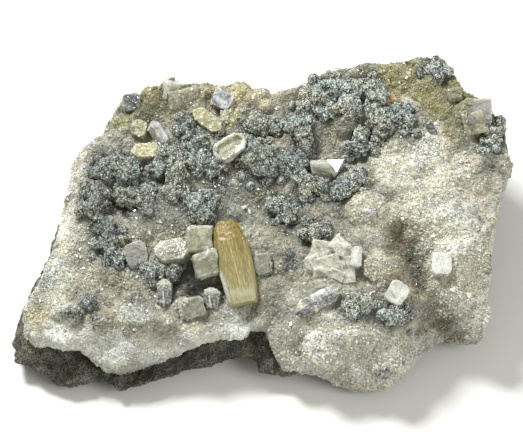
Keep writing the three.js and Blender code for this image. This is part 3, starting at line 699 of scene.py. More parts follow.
def knob_material():
    """Grey-green grains with a pale frosting on their tops and dark gaps between them, their darkness
    painted shade.
    """
    material, nodes, link, shader = new_material("grainy_knobs", Roughness=0.6)
    # painted shade, dark in the gaps between the grains
    crevice_shade = ((0.36, (0.12, 0.13, 0.12)), (0.5, (0.42, 0.44, 0.41)))
    tops = ((0.6, (0.6, 0.62, 0.58)), (0.7, (0.74, 0.76, 0.7)))
    body = ramp(nodes, link, attribute(nodes, "relief", "Fac"), *crevice_shade, *tops)
    fine = grain(nodes, 0.28, 0.1, 0.5)
    frosted = mix(nodes, link, "MIX", fine.outputs["Specks"], body, (0.6, 0.62, 0.58))
    tinted = mix(nodes, link, "MULTIPLY", 1, frosted, attribute(nodes, "tint", "Color"))
    link(tinted, shader.inputs["Base Color"])
    link(fine.outputs["Normal"], shader.inputs["Normal"])
    return material


# From the crystal's front end to its back
HONEY = (
    (0.0, (0.61, 0.6, 0.46)),
    (0.3, (0.57, 0.54, 0.38)),
    (0.62, (0.54, 0.505, 0.33)),
    (0.85, (0.52, 0.47, 0.28)),
    (1.0, (0.48, 0.435, 0.25)),
)
HALF_LENGTH = 9.5  # mm from the heulandite's middle to its ends


def heulandite_material(axis, middle):
    """Honey to amber, fading to pale khaki at the front end, with fine lines along it."""
    depth = {"Subsurface_Scale": 1.2 * MM, "Subsurface_Radius": (1, 0.9, 0.6)}
    material, nodes, link, shader = new_material(
        "honey_heulandite", Roughness=0.35, IOR=1.5, Subsurface_Weight=0.35, **depth
    )
    place = nodes.new("ShaderNodeTexCoord").outputs["Object"]
    turned = nodes.new("ShaderNodeMapping")
    turned.vector_type = "TEXTURE"
    set_sockets(turned, Location=middle, Rotation=axis.to_track_quat("Y", "Z").to_euler())
    link(place, turned.inputs["Vector"])
    apart = nodes.new("ShaderNodeSeparateXYZ")
    link(turned.outputs[0], apart.inputs[0])
    share = nodes.new("ShaderNodeMapRange")
    set_sockets(share, From_Min=-HALF_LENGTH * MM, From_Max=HALF_LENGTH * MM)
    link(apart.outputs["Y"], share.inputs["Value"])
    body = ramp(nodes, link, share.outputs[0], *HONEY)
    flattened = nodes.new("ShaderNodeVectorMath")
    flattened.operation = "MULTIPLY"
    flattened.inputs[1].default_value = (1, 0.12, 1)
    link(turned.outputs[0], flattened.inputs[0])
    lines = nodes.new("ShaderNodeTexNoise")
    set_sockets(lines, Scale=1 / (0.22 * MM), Detail=3.0)
    link(flattened.outputs[0], lines.inputs["Vector"])
    lined = lines.outputs[0]
    shaded = ramp(nodes, link, lined, (0.3, (0.84, 0.8, 0.7)), (0.5, (0.97, 0.96, 0.93)), (0.6, (1, 1, 1)))
    pale_share = ramp(nodes, link, lined, (0.54, (0, 0, 0)), (0.68, (0.75, 0.75, 0.75)))
    blotches = nodes.new("ShaderNodeTexNoise")
    set_sockets(blotches, Scale=1 / (0.9 * MM), Detail=4.0)
    link(place, blotches.inputs["Vector"])
    amber_share = ramp(nodes, link, blotches.outputs[0], (0.47, (0, 0, 0)), (0.62, (0.8, 0.8, 0.8)))
    top_share = ramp(nodes, link, share.outputs[0], (0.4, (0.1, 0.1, 0.1)), (0.9, (0.5, 0.5, 0.5)))
    amber = mix(nodes, link, "MULTIPLY", 1, amber_share, top_share)
    honeyed = mix(nodes, link, "MIX", amber, body, (0.6, 0.49, 0.24))
    streaked = mix(nodes, link, "MIX", pale_share, honeyed, (0.69, 0.66, 0.48))
    plain = mix(nodes, link, "MULTIPLY", 1, streaked, shaded)
    link(with_marks(nodes, link, plain), shader.inputs["Base Color"])
    bump = nodes.new("ShaderNodeBump")
    set_sockets(bump, Strength=0.5, Distance=0.15 * MM)
    link(lined, bump.inputs["Height"])
    link(bump.outputs[0], shader.inputs["Normal"])
    return material


def crystal_material(name, colours, roughness, clearness, veil, veil_size):
    """A crystal from two colours, with a veil of that share in it and growth marks on its faces."""
    depth = {"Subsurface_Scale": 2 * MM, "Subsurface_Radius": (1, 1, 0.9)}
    material, nodes, link, shader = new_material(
        name, Roughness=roughness, IOR=1.54, Transmission_Weight=clearness, Subsurface_Weight=0.9, **depth
    )
    cloudy = grain(nodes, veil_size, 0.12, 0.3)
    body = ramp(nodes, link, cloudy.outputs["Grain"], (0.5 - veil, colours[0]), (0.5 + veil, colours[1]))
    fine = grain(nodes, 0.4, 0.1, 0.35)
    shaded = ramp(nodes, link, fine.outputs["Grain"], (0.3, (0.8, 0.8, 0.78)), (0.6, (1, 1, 1)))
    plain = mix(nodes, link, "MULTIPLY", 1, body, shaded)
    link(with_marks(nodes, link, plain), shader.inputs["Base Color"])
    link(fine.outputs["Normal"], shader.inputs["Normal"])
    return material


def floor_material():
    return new_material("pale_floor", Roughness=0.8, Base_Color=(*linear((0.85, 0.85, 0.84)), 1))[0]


DRUSE_SHADE = [(0.3, (0.86, 0.86, 0.85)), (0.62, (1, 1, 1))]
SUGAR_SHADE = [(0.25, (0.93, 0.93, 0.93)), (0.6, (1, 1, 1))]
SMOKY_SHADE = [(0.3, (0.82, 0.82, 0.8)), (0.6, (1, 1, 1))]
FROST_SHADE = [(0.3, (0.8, 0.8, 0.8)), (0.6, (1, 1, 1))]
MATERIALS = {
    "druse": quartz_material("sugary_druse", 0.35, 0.6, DRUSE_SHADE, 0.45, 0, 0.8, 1.2),
    "sugar": quartz_material("sugary_quartz", 0.5, 0.12, SUGAR_SHADE, 0.32, 0.1, 1, 0.8),
    "points": quartz_material("quartz_points", 0.5, 0.12, SUGAR_SHADE, 0.07, 0.3, 1, 0.35),
    "smoky": quartz_material("smoky_quartz", 0.6, 0.3, SMOKY_SHADE, 0.15, 0.35, 0.9, 2, (1, 1, 0.95)),
    "frost": tinted_material("knob_frost", 0.3, 0.2, FROST_SHADE, Roughness=0.42, IOR=1.5),
    "basalt": basalt_material(),
    "knobs": knob_material(),
    "facet": crystal_material("bright_facet", [(0.9, 0.9, 0.9), (0.95, 0.95, 0.95)], 0.05, 0.2, 0.2, 1.2),
}


# Rock


def broken_rock():
    piece = piece_like(ROCK, "broken_basalt_rock")
    remesh(piece, 0.5, 2)
    roughen(piece, relief_tree("chips", [("cells", 4.5, 0.6), ("cells", 1.8, 0.4), ("noise", 0.8, 0.35)]))
    keep_off_floor(piece)
    finish_piece(piece, MATERIALS["basalt"], "basalt", ROCK)


# Crust

# reach of the painted shade round the knobs
GAP_SHADE_REACH = 1.9  # mm from a knob


def nearest_knob(points):
    """Millimetres from each point to the nearest knob."""
    vertices = [v.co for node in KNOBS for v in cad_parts[node].data.vertices]
    tree = KDTree(len(vertices))
    for index, place in enumerate(vertices):
        tree.insert(place, index)
    tree.balance()
    return np.array([tree.find(p)[2] for p in points]) / MM


def mottle(points, size, seed):
    """Smooth noise at each point, from about -1 to 1, with blotches of that many mm."""
    draw = np.random.default_rng(seed)
    waves = draw.normal(0, 1, (20, 3))
    waves *= math.pi / (size * MM) / np.linalg.norm(waves, axis=1)[:, None]
    return np.sin(points @ waves.T + draw.uniform(0, 2 * math.pi, 20)).sum(1) / 6


def gritty_shares(points):
    """How far each point belongs to each of the gritty patches."""
    across, up = seen(points)
    up = up + 0.5 * mottle(points, 1.4, 8)
    return [0.9 * np.exp(-(oval_distance(across, up, *oval) ** 2)) for *oval, _ in GRITTY]


WARMTH = np.array([1, 1, 0.94])  # the crust's colour over that of its patches
WARMTH_SPREAD = np.array([0.03, 0, -0.05])  # from its mean to its warmest places


def crust_colours(points, seed):
    """The crust's colour at each point: its patches, painted shade in the groove and round the knobs, and
    some variety.
    """
    draw = np.random.default_rng(seed)
    across, up = seen(points)
    wobble = 1.2 * np.sin(across * 0.9 + 2 * np.sin(up * 0.7)) + draw.normal(0, 0.5, len(points))
    colours = np.tile(linear(DRUSE), (len(points), 1))
    for *oval, colour, strength in PATCHES:
        away = oval_distance(across + wobble, up + wobble, *oval)
        colours = blended(colours, strength * np.exp(-(away**2)), colour)
    for *oval, _, colour in LUMPS:
        away = oval_distance(across + wobble / 4, up + wobble / 4, *oval)
        colours = blended(colours, 0.85 * np.exp(-(away**3)), colour)
    # painted shade along the groove
    groove = 0.7 * np.exp(-((line_distance(across + wobble / 2, up, GROOVE) / GROOVE_REACH) ** 2))
    colours = blended(colours, groove, SHADE)
    colours *= (1 + 0.16 * mottle(points, 3.2, 5) + 0.13 * mottle(points, 1.3, 6))[:, None]
    colours *= WARMTH + mottle(points, 5, 7)[:, None] * WARMTH_SPREAD
    # painted shade in the crust round the knobs
    colours = blended(colours, 0.8 * np.exp(-((nearest_knob(points) / GAP_SHADE_REACH) ** 2)), KNOB_GAP_SHADE)
    for (*_, colour), share in zip(GRITTY, gritty_shares(points)):
        colours = blended(colours, share, colour)
    return colours


# Lumps that stand in the crust, as seen: across, up, radii across, up the view and outward, colour
LUMPS = [
    (23.4, 3, 5, 4.2, 1.6, (0.8, 0.79, 0.72)),
    # the next, near-white lump, on the one above, is a painted highlight
    (23.6, 2.4, 1.3, 1.2, 2.6, (0.92, 0.93, 0.92)),
    (42, 28.6, 2.2, 1.9, 1.2, (0.6, 0.6, 0.54)),
    (-34, -4.6, 2.6, 3, 1.4, (0.6, 0.6, 0.52)),
    (4.6, 12.4, 2.6, 2, 1, (0.66, 0.65, 0.6)),
    (10.5, 1.4, 3, 2.2, 1.2, (0.68, 0.67, 0.62)),
    (26.6, -10, 4.4, 3.8, 1.2, (0.78, 0.765, 0.69)),
    (32.6, -16.5, 3, 2.6, 1.2, (0.78, 0.73, 0.64)),
    (-38.1, -17.6, 1.7, 1.5, 0.9, (0.5, 0.53, 0.52)),
    (26.9, -32.6, 1.4, 1.1, 0.8, (0.5, 0.53, 0.52)),
    (48.8, 21.8, 2.4, 2.2, 1, (0.62, 0.61, 0.5)),
    (-4.7, 29.9, 2.3, 2.1, 2, (0.74, 0.71, 0.56)),
    (-2.2, 27.4, 2.2, 2, 2, (0.75, 0.7, 0.59)),
    (0.2, 29, 1.8, 1.6, 1.7, (0.73, 0.68, 0.57)),
    (-7.2, 27, 1.3, 1.6, 1.5, (0.8, 0.79, 0.66)),
    (-5.4, 25, 1.5, 1.6, 1.6, (0.82, 0.79, 0.62)),
    (1.2, 26, 1.7, 1.6, 1.4, (0.74, 0.69, 0.58)),
    (-12.8, 29.4, 1.5, 1.2, 1.3, (0.8, 0.76, 0.62)),
    (-9.6, 29.6, 1.4, 1.2, 1.2, (0.76, 0.72, 0.58)),
    (-6.6, 22.6, 1.5, 1.8, 1.6, (0.8, 0.79, 0.6)),
    (-15.6, 24.2, 1.9, 1.4, 1.4, (0.7, 0.68, 0.5)),
    (-25, 29, 2.4, 1.6, 1.3, (0.6, 0.57, 0.42)),
    (-31.6, 22.4, 1.9, 1.7, 1.3, (0.66, 0.65, 0.5)),
    (-17, -18.4, 2.6, 1.8, 1.2, (0.8, 0.79, 0.73)),
    (-28, -19.8, 3.6, 2.2, 1.2, (0.86, 0.86, 0.82)),
    (-6.5, -24.4, 4, 1.8, 1.2, (0.94, 0.94, 0.9)),
    (-44, -20, 2.4, 1.6, 1.6, (0.92, 0.92, 0.87)),
    (38, 15, 4.2, 4.6, 1.4, (0.93, 0.92, 0.86)),
    (44, 0, 4.6, 5.4, 1.2, (0.9, 0.9, 0.84)),
    (14, -27.6, 5.6, 4.4, 1.4, (0.92, 0.91, 0.85)),
    (27, -29.4, 4.4, 4, 1.2, (0.84, 0.83, 0.77)),
    (47, -20, 4, 4, 1.2, (0.84, 0.83, 0.77)),
    (46.5, 13.6, 3.2, 2.4, 1.2, (0.85, 0.8, 0.7)),
    (45.4, 24.4, 2.2, 3.2, 3, (0.64, 0.63, 0.52)),
    (47.4, 21.2, 2.6, 1.8, 2.8, (0.58, 0.57, 0.46)),
    (38, 31.2, 2.1, 2.1, 3, (0.64, 0.63, 0.48)),
]


def patch_share(points, wanted):
    """How much of the crust's colour at each point comes from patches of that colour, 0 to 1."""
    across, up = seen(points)
    share = np.zeros(len(points))
    for *oval, colour, strength in PATCHES:
        if colour == wanted:
            share = np.maximum(share, strength * np.exp(-(oval_distance(across, up, *oval) ** 2)))
    return share


def ball_shape():
    bpy.ops.object.select_all(action="DESELECT")
    bpy.ops.mesh.primitive_ico_sphere_add(subdivisions=2, radius=1)
    ball = bpy.context.object
    points = points_of(ball.data)
    faces = np.array([p.vertices for p in ball.data.polygons])
    bpy.data.objects.remove(ball)
    return points, faces


def add_lumps(piece, ball, frames, middles):
    lumps = new_piece("lumps", mesh_from("lumps", *copies_of(*ball, frames, middles)))
    join_into(piece, [lumps])


def crust_ground():
    piece = piece_like(CRUST, "drusy_ground")
    tree = tree_of([piece])
    middles = []
    frames = []
    for x, y, across, up, out, _ in LUMPS:
        place = onto_crust(tree, x, y)
        shape = Matrix((Vector((across, 0, 0)), up * LOOK_UP, out * TO_CAMERA)).transposed()
        middles.append(np.array(place))
        frames.append(np.array(shape) * MM)
    add_lumps(piece, ball_shape(), np.array(frames), np.array(middles))
    remesh(piece, 0.5, 5)
    points = points_of(piece.data)
    upward = np.clip(normals_of(piece.data)[:, 2] * 2, 0, 1)
    groove = np.exp(-((line_distance(*seen(points), GROOVE) / GROOVE_REACH) ** 2))
    points[:, 2] -= upward * groove * GROOVE_DEPTH * MM
    put_points(piece, points)
    roughen(piece, relief_tree("druse", [("noise", 4, 0.6), ("cells", 1.8, 0.22), ("cells", 0.8, 0.1)]))
    write_tint(piece.data, crust_colours(points_of(piece.data), 11))
    finish_piece(piece, MATERIALS["druse"], "drusy_quartz", CRUST)
    return piece


def sites_on(mesh, count, spacing, seed):
    """Random places on a mesh with their normals, at most one for each cube of that spacing."""
    draw = np.random.default_rng(seed)
    mesh.calc_loop_triangles()
    corners = np.array([t.vertices for t in mesh.loop_triangles])
    points = points_of(mesh)
    a, b, c = (points[corners[:, k]] for k in range(3))
    normal = np.cross(b - a, c - a)
    area = np.linalg.norm(normal, axis=1)
    chosen = draw.choice(len(area), count, p=area / area.sum())
    s, t = draw.random((2, count))
    s, t = np.where(s + t > 1, 1 - s, s), np.where(s + t > 1, 1 - t, t)
    places = a[chosen] + s[:, None] * (b - a)[chosen] + t[:, None] * (c - a)[chosen]
    normals = normal[chosen] / area[chosen][:, None]
    cubes = np.floor(places / (spacing * MM)).astype(int)
    _, first = np.unique(cubes, axis=0, return_index=True)
    first.sort()
    return places[first], normals[first]


def open_to_air(places, normals, blockers, reach):
    """Which places have nothing close in front of them."""
    free = [
        blockers.ray_cast(Vector(p + n * 0.05 * MM), Vector(n), reach * MM)[0] is None
        for p, n in zip(places, normals)
    ]
    return np.array(free)


def frames_along(normals, tilt, draw):
    """A turning frame for each normal, leaning off it at random and turned about itself."""
    lean = normals + draw.normal(0, tilt, normals.shape)
    z = lean / np.linalg.norm(lean, axis=1)[:, None]
    aside = draw.normal(0, 1, normals.shape)
    x = np.cross(aside, z)
    x /= np.linalg.norm(x, axis=1)[:, None]
    return np.stack([x, np.cross(z, x), z], axis=2)


HEXAGON = [(math.cos(k * math.pi / 3), math.sin(k * math.pi / 3)) for k in range(6)]
POINT_SHAPE = np.array([*[(x, y, -0.25) for x, y in HEXAGON], (0, 0, 0.6)])
POINT_FACES = np.array([(k, (k + 1) % 6, 6) for k in range(6)] + [(0, k + 1, k) for k in range(1, 5)])


def quartz_points(name, places, normals, size, material, seed):
    """Thousands of small quartz points, each half sunk in the ground."""
    draw = np.random.default_rng(seed)
    fine = 1 - 0.4 * patch_share(places, CHALK)
    sizes = size * MM * fine * np.exp(draw.normal(0, 0.35, len(places)))
    frames = frames_along(normals, 0.2, draw) * sizes[:, None, None]
    points, faces = copies_of(POINT_SHAPE, POINT_FACES, frames, places)
    piece = new_piece(name, mesh_from(name, points, faces))
    spread = 0.06 + 0.8 * np.clip(sum(gritty_shares(places)), 0, 1)
    bright = 1 + spread * draw.choice([-1, -0.5, 0.4, 1.6], len(places))
    colours = np.clip(crust_colours(places, seed) * bright[:, None], 0, 0.94)
    write_tint(piece.data, np.repeat(colours, len(POINT_SHAPE), axis=0))
    finish_piece(piece, MATERIALS[material], "drusy_quartz", CRUST)


FIELD_EDGES = [-0.028, 0, 0.028]  # m, between the four fields of fine points


def sow_crust(ground):
    """Fine points everywhere that the crust is open, in four pieces from left to right, and large ones."""
    blockers = tree_of([obj for node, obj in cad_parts.items() if node != CRUST])
    places, normals = sites_on(ground.data, 180000, 0.48, 21)
    free = open_to_air(places, normals, blockers, 1.4)
    places, normals = places[free], normals[free]
    fields = np.digitize(places[:, 0], FIELD_EDGES)
    for field, side in enumerate(("west", "mid_west", "mid_east", "east")):
        here = fields == field
        quartz_points(f"quartz_points_{side}", places[here], normals[here], 0.34, "sugar", 31 + field)
    places, normals = sites_on(ground.data, 9000, 1.1, 22)
    free = open_to_air(places, normals, blockers, 2.5)
    quartz_points("large_quartz_points", places[free], normals[free], 0.42, "points", 35)


def onto_crust(tree, x, y):
    """Where a line from the camera through that place in the view meets a tree of faces."""
    start = VIEW_MIDDLE + Vector((x * MM, 0, 0)) + y * MM * LOOK_UP + 0.2 * TO_CAMERA
    return tree.ray_cast(start, -TO_CAMERA)[0]


def turned_block(place, half_sizes, roll, nod, turn):
    """A block that faces the camera, its half sizes in mm, then rolled, nodded and turned by degrees."""
    bpy.ops.object.select_all(action="DESELECT")
    bpy.ops.mesh.primitive_cube_add(size=2)
    block = bpy.context.object
    axes = Matrix((Vector((1, 0, 0)), LOOK_UP, TO_CAMERA)).transposed().to_4x4()
    turned = Quaternion((0, 0, 1), math.radians(roll)) @ Quaternion((1, 0, 0), math.radians(nod))
    turned = turned @ Quaternion((0, 1, 0), math.radians(turn))
    scale = Matrix.Diagonal((*[half * MM for half in half_sizes], 1))
    block.data.transform(Matrix.Translation(place) @ axes @ turned.to_matrix().to_4x4() @ scale)
    return block


# Small white crystals on the crust: across and up, length and width in mm, turn in the view in degrees
WHITE_FLAKES = [
    (38.2, -2.9, 1.8, 0.7, 15),
    (41.4, -5.4, 1.5, 0.8, 60),
    (43.6, -4.4, 1.4, 0.7, 100),
    (40.6, 1.6, 1.2, 0.7, 30),
    (33, 17.2, 1.2, 0.8, 130),
    (36.6, 15.6, 1, 0.7, 20),
    (29.6, 13.4, 1.1, 0.8, 80),
    (-4, 3.4, 2.2, 1, 20),
    (-2.6, 2.6, 1.4, 0.8, 110),
    (-0.8, -2.4, 1.3, 0.9, 70),
    (1.2, -7.6, 1.2, 0.8, 10),
    (-24.8, -2.2, 1.1, 0.7, 130),
    (-32.2, -19.4, 1.4, 0.6, 160),
    (9.5, -13.4, 1, 0.6, 30),
    (26.2, -7.8, 1.1, 0.6, 20),
    (-43, 6.4, 1.2, 0.7, 40),
    (5.6, -0.4, 0.9, 0.6, 75),
    (12.8, 8.2, 1.2, 0.9, 40),
    (-12.4, -25.8, 1.4, 0.8, 50),
    (21, -26, 1, 0.6, 100),
    (6, 15.6, 1, 0.7, 10),
]
FLAKE_OUTLINE = ((1, 0), (0.4, 0.8), (-0.7, 0.7), (-1, -0.2), (0, -0.8))
FLAKE_SHAPE = np.array([(x, y, z) for z in (-0.5, 0.3) for x, y in FLAKE_OUTLINE])
FLAKE_FACES = np.array(
    [(5, 6, 7), (5, 7, 8), (5, 8, 9), (2, 1, 0), (3, 2, 0), (4, 3, 0)]
    + [f for k in range(5) for f in ((k, (k + 1) % 5, (k + 1) % 5 + 5), (k, (k + 1) % 5 + 5, k + 5))]
)


def white_flakes(ground):
    draw = np.random.default_rng(81)
    tree = tree_of([ground])
    frames = []
    middles = []
    for x, y, length, width, turn in WHITE_FLAKES:
        place = onto_crust(tree, x, y)
        middles.append(np.array(place + 0.35 * MM * TO_CAMERA))
        lean = (TO_CAMERA + Vector(draw.normal(0, 0.3, 3))).normalized()
        along = Quaternion(TO_CAMERA, math.radians(turn)) @ Vector((1, 0, 0))
        aside = lean.cross(along).normalized()
        shape = Matrix((length / 2 * aside.cross(lean), width / 2 * aside, 0.5 * lean)).transposed()
        frames.append(np.array(shape) * MM)
    points, faces = copies_of(FLAKE_SHAPE, FLAKE_FACES, np.array(frames), np.array(middles))
    mesh = mesh_from("white_flakes", points, faces)
    piece = new_piece("white_flakes", mesh)
    write_tint(piece.data, np.full((len(mesh.vertices), 3), 0.93))
    finish_piece(piece, MATERIALS["points"], "drusy_quartz", CRUST)


# Knobs

# Where the knobs are lighter or darker than most, as seen: across, up, reach, shade
KNOB_SHADES = [
    (-34, 3, 9, 0.6),
    (-34, 13, 6, 0.75),
    (17, 28, 11, 1.1),
    (2, 15, 8, 0.75),
    (-15, -13, 7, 0.55),
    (50, 18, 6, 1),
    (40.5, 34.4, 4.5, 1.05),
    (20.5, -18, 5, 1.1),
    (28, -20.5, 4, 1.15),
]


def knob_shade(points):
    across, up = seen(points)
    shade = np.full(len(points), 0.88)
    for x, y, reach, wanted in KNOB_SHADES:
        share = np.exp(-((((across - x) ** 2 + (up - y) ** 2) / reach**2) ** 2))
        shade = shade * (1 - share) + share * wanted
    return shade


BLUE_GREEN = np.array([0.9, 0.99, 1.02])
OLIVE_GREY = np.array([1.04, 1.02, 0.9])


def knob_hue(points):
    """Blue-green to olive grey from one knob to the next."""
    hue = np.clip(0.5 + 0.6 * mottle(points, 4, 9), 0, 1)[:, None]
    return (BLUE_GREEN * hue + OLIVE_GREY * (1 - hue)) * knob_shade(points)[:, None]


def knob_group(node, number, ground_tree, ball, tree):
    """One group of grainy knobs: the CAD group with smaller lumps on it and round its foot."""
    draw = np.random.default_rng(200 + number)
    piece = piece_like(node, f"grainy_knobs_{number:02d}")
    points = points_of(piece.data)
    low, high = points.min(0), points.max(0)
    on_top = points[draw.choice(len(points), max(6, len(points) // 7))]
    spots = draw.uniform(low - 0.9 * MM, high + 0.9 * MM, (max(5, len(points) // 9), 3))
    at_foot = []
    for x, y, _ in spots:
        hit = ground_tree.ray_cast(Vector((x, y, 0.06)), Vector((0, 0, -1)))[0]
        if hit:
            at_foot.append(tuple(hit))
    middles = np.array([*on_top, *at_foot])
    radii = MM * draw.uniform(0.8, 1.5, len(middles))
    frames = frames_along(np.tile((0.0, 0.0, 1.0), (len(middles), 1)), 1, draw) * radii[:, None, None]
    add_lumps(piece, ball, frames, middles)
    remesh(piece, 0.26, 4)
    roughen(piece, tree)
    # painted shade in the crevices between the knobs, lighter where they stand out
    crevice_shade = np.clip(bulge_of(piece.data, 5) / 0.1, -1, 0.5)[:, None]
    write_tint(piece.data, knob_hue(points_of(piece.data)) * (1 + 0.6 * crevice_shade))
    finish_piece(piece, MATERIALS["knobs"], "grey_knob", node)
    return piece


SLIVER_SHAPE = np.array([(0, 0, -1), (0.5, 0, 0), (-0.25, 0.45, 0), (-0.25, -0.45, 0), (0, 0, 1)])
SLIVER_FACES = np.array([(1, 2, 4), (2, 3, 4), (3, 1, 4), (2, 1, 0), (3, 2, 0), (1, 3, 0)])


def frost_on(groups, seed):
    places = []
    normals = []
    for number, piece in enumerate(groups):
        spots, facing = sites_on(piece.data, 9000, 0.36, seed + 10 * number)
        above = facing[:, 2] > -0.4
        places.append(spots[above])
        normals.append(facing[above])
    return np.concatenate(places), np.concatenate(normals)


def grit_on(ground, seed):
    places, normals = sites_on(ground.data, 150000, 0.4, seed)
    gritty = np.max(gritty_shares(places)[:GRAINY], axis=0) > 0.3
    return places[gritty], normals[gritty]


def frost(name, places, normals, seed, slot, *nodes):
    """Slivers that lie every way, most of them pale and some dark."""
    draw = np.random.default_rng(seed)
    aside = np.cross(normals, draw.normal(0, 1, normals.shape))
    aside /= np.linalg.norm(aside, axis=1)[:, None]
    sizes = MM * draw.uniform(0.14, 0.36, len(places))[:, None, None]
    frames = frames_along(aside, 0.2, draw) * sizes
    piece = new_piece(name, mesh_from(name, *copies_of(SLIVER_SHAPE, SLIVER_FACES, frames, places)))
    bright = np.where(draw.random(len(places)) < 0.62, draw.uniform(0.5, 0.95, len(places)), 0.16) ** 1.6
    colours = bright[:, None] * knob_hue(places) * np.array([1.0, 1.0, 0.96])
    write_tint(piece.data, np.repeat(colours, len(SLIVER_SHAPE), axis=0))
    finish_piece(piece, MATERIALS["frost"], slot, *nodes)


def knob_groups(ground):
    ground_tree = tree_of([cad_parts[CRUST]])
    ball = ball_shape()
    tree = relief_tree("knob_grains", [("noise", 2.2, 0.2), ("cells", 1.0, 0.12), ("cells", 0.45, 0.12)])
    groups = []
    for number, node in enumerate(KNOBS, 1):
        groups.append(knob_group(node, number, ground_tree, ball, tree))
    half = len(groups) // 2
    frost("knob_frost_west", *frost_on(groups[:half], 71), 71, "grey_knob", *KNOBS)
    frost("knob_frost_east", *frost_on(groups[half:], 72), 72, "grey_knob", *KNOBS)
    frost("gritty_patches", *grit_on(ground, 73), 73, "drusy_quartz", CRUST)


# Crystals


def crystal_axis(roll, nod):
    """The direction along a crystal that lies in the view, rolled in it and nodding off it, in degrees."""
    roll = math.radians(roll)
    nod = math.radians(nod)
    flat = math.cos(roll) * LOOK_UP - math.sin(roll) * Vector((1, 0, 0))
    return math.cos(nod) * flat + math.sin(nod) * TO_CAMERA


def sink_foot(piece, depth):
    """Lets the faces that look down reach into the crust below."""
    points = points_of(piece.data)
    low = np.clip(-normals_of(piece.data)[:, 2] * 1.6, 0, 1)
    points[:, 2] -= low * depth * MM
    put_points(piece, points)


def paint_amber(piece, points, across, up):
    """Amber blotches at the back left of the heulandite, over the tint that it has."""
    amber = np.clip(0.45 + 0.7 * mottle(points, 0.8, 92), 0, 1) * np.clip((up + 8) / 7, 0, 1)
    amber *= 0.5 * np.clip((-3.2 - across) / 5, 0, 1)
    data = piece.data.attributes["tint"].data
    tint = np.empty(len(points) * 4)
    data.foreach_get("color", tint)
    tint = tint.reshape(-1, 4)
    tint[:, :3] = blended(tint[:, :3], amber / np.maximum(amber + tint[:, 3], 1e-6), AMBER)
    tint[:, 3] = np.maximum(tint[:, 3], amber)
    data.foreach_set("color", tint.ravel())


def heulandite_crystal():
    node = "heulandite"
    piece = piece_like(node, "honey_heulandite_crystal")
    sink_foot(piece, 0.7)
    axis = crystal_axis(11, -10)
    remesh(piece, 0.13, 4)
    roughen(piece, relief_tree("plates", [("noise", 0.5, 0.14), ("cells", 1.5, 0.1)], tuple(axis), 9))
    roughen(piece, relief_tree("grit", [("noise", 0.5, 0.05), ("noise", 1.6, 0.12)]))
    points = points_of(piece.data)
    across, up = seen(points)
    at_top = 1 / (1 + np.exp((-3.2 - up) / 0.5))
    points += normals_of(piece.data) * (at_top * mottle(points, 0.6, 91) * 0.1 * MM)[:, None]
    piece.data.vertices.foreach_set("co", points.ravel())
    paint_marks(piece, MARKS[node], 0.04, 0.05)
    paint_amber(piece, points, across, up)
    low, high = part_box(node)
    material = heulandite_material(axis, (low + high) / 2)
    finish_piece(piece, material, "heulandite", node)


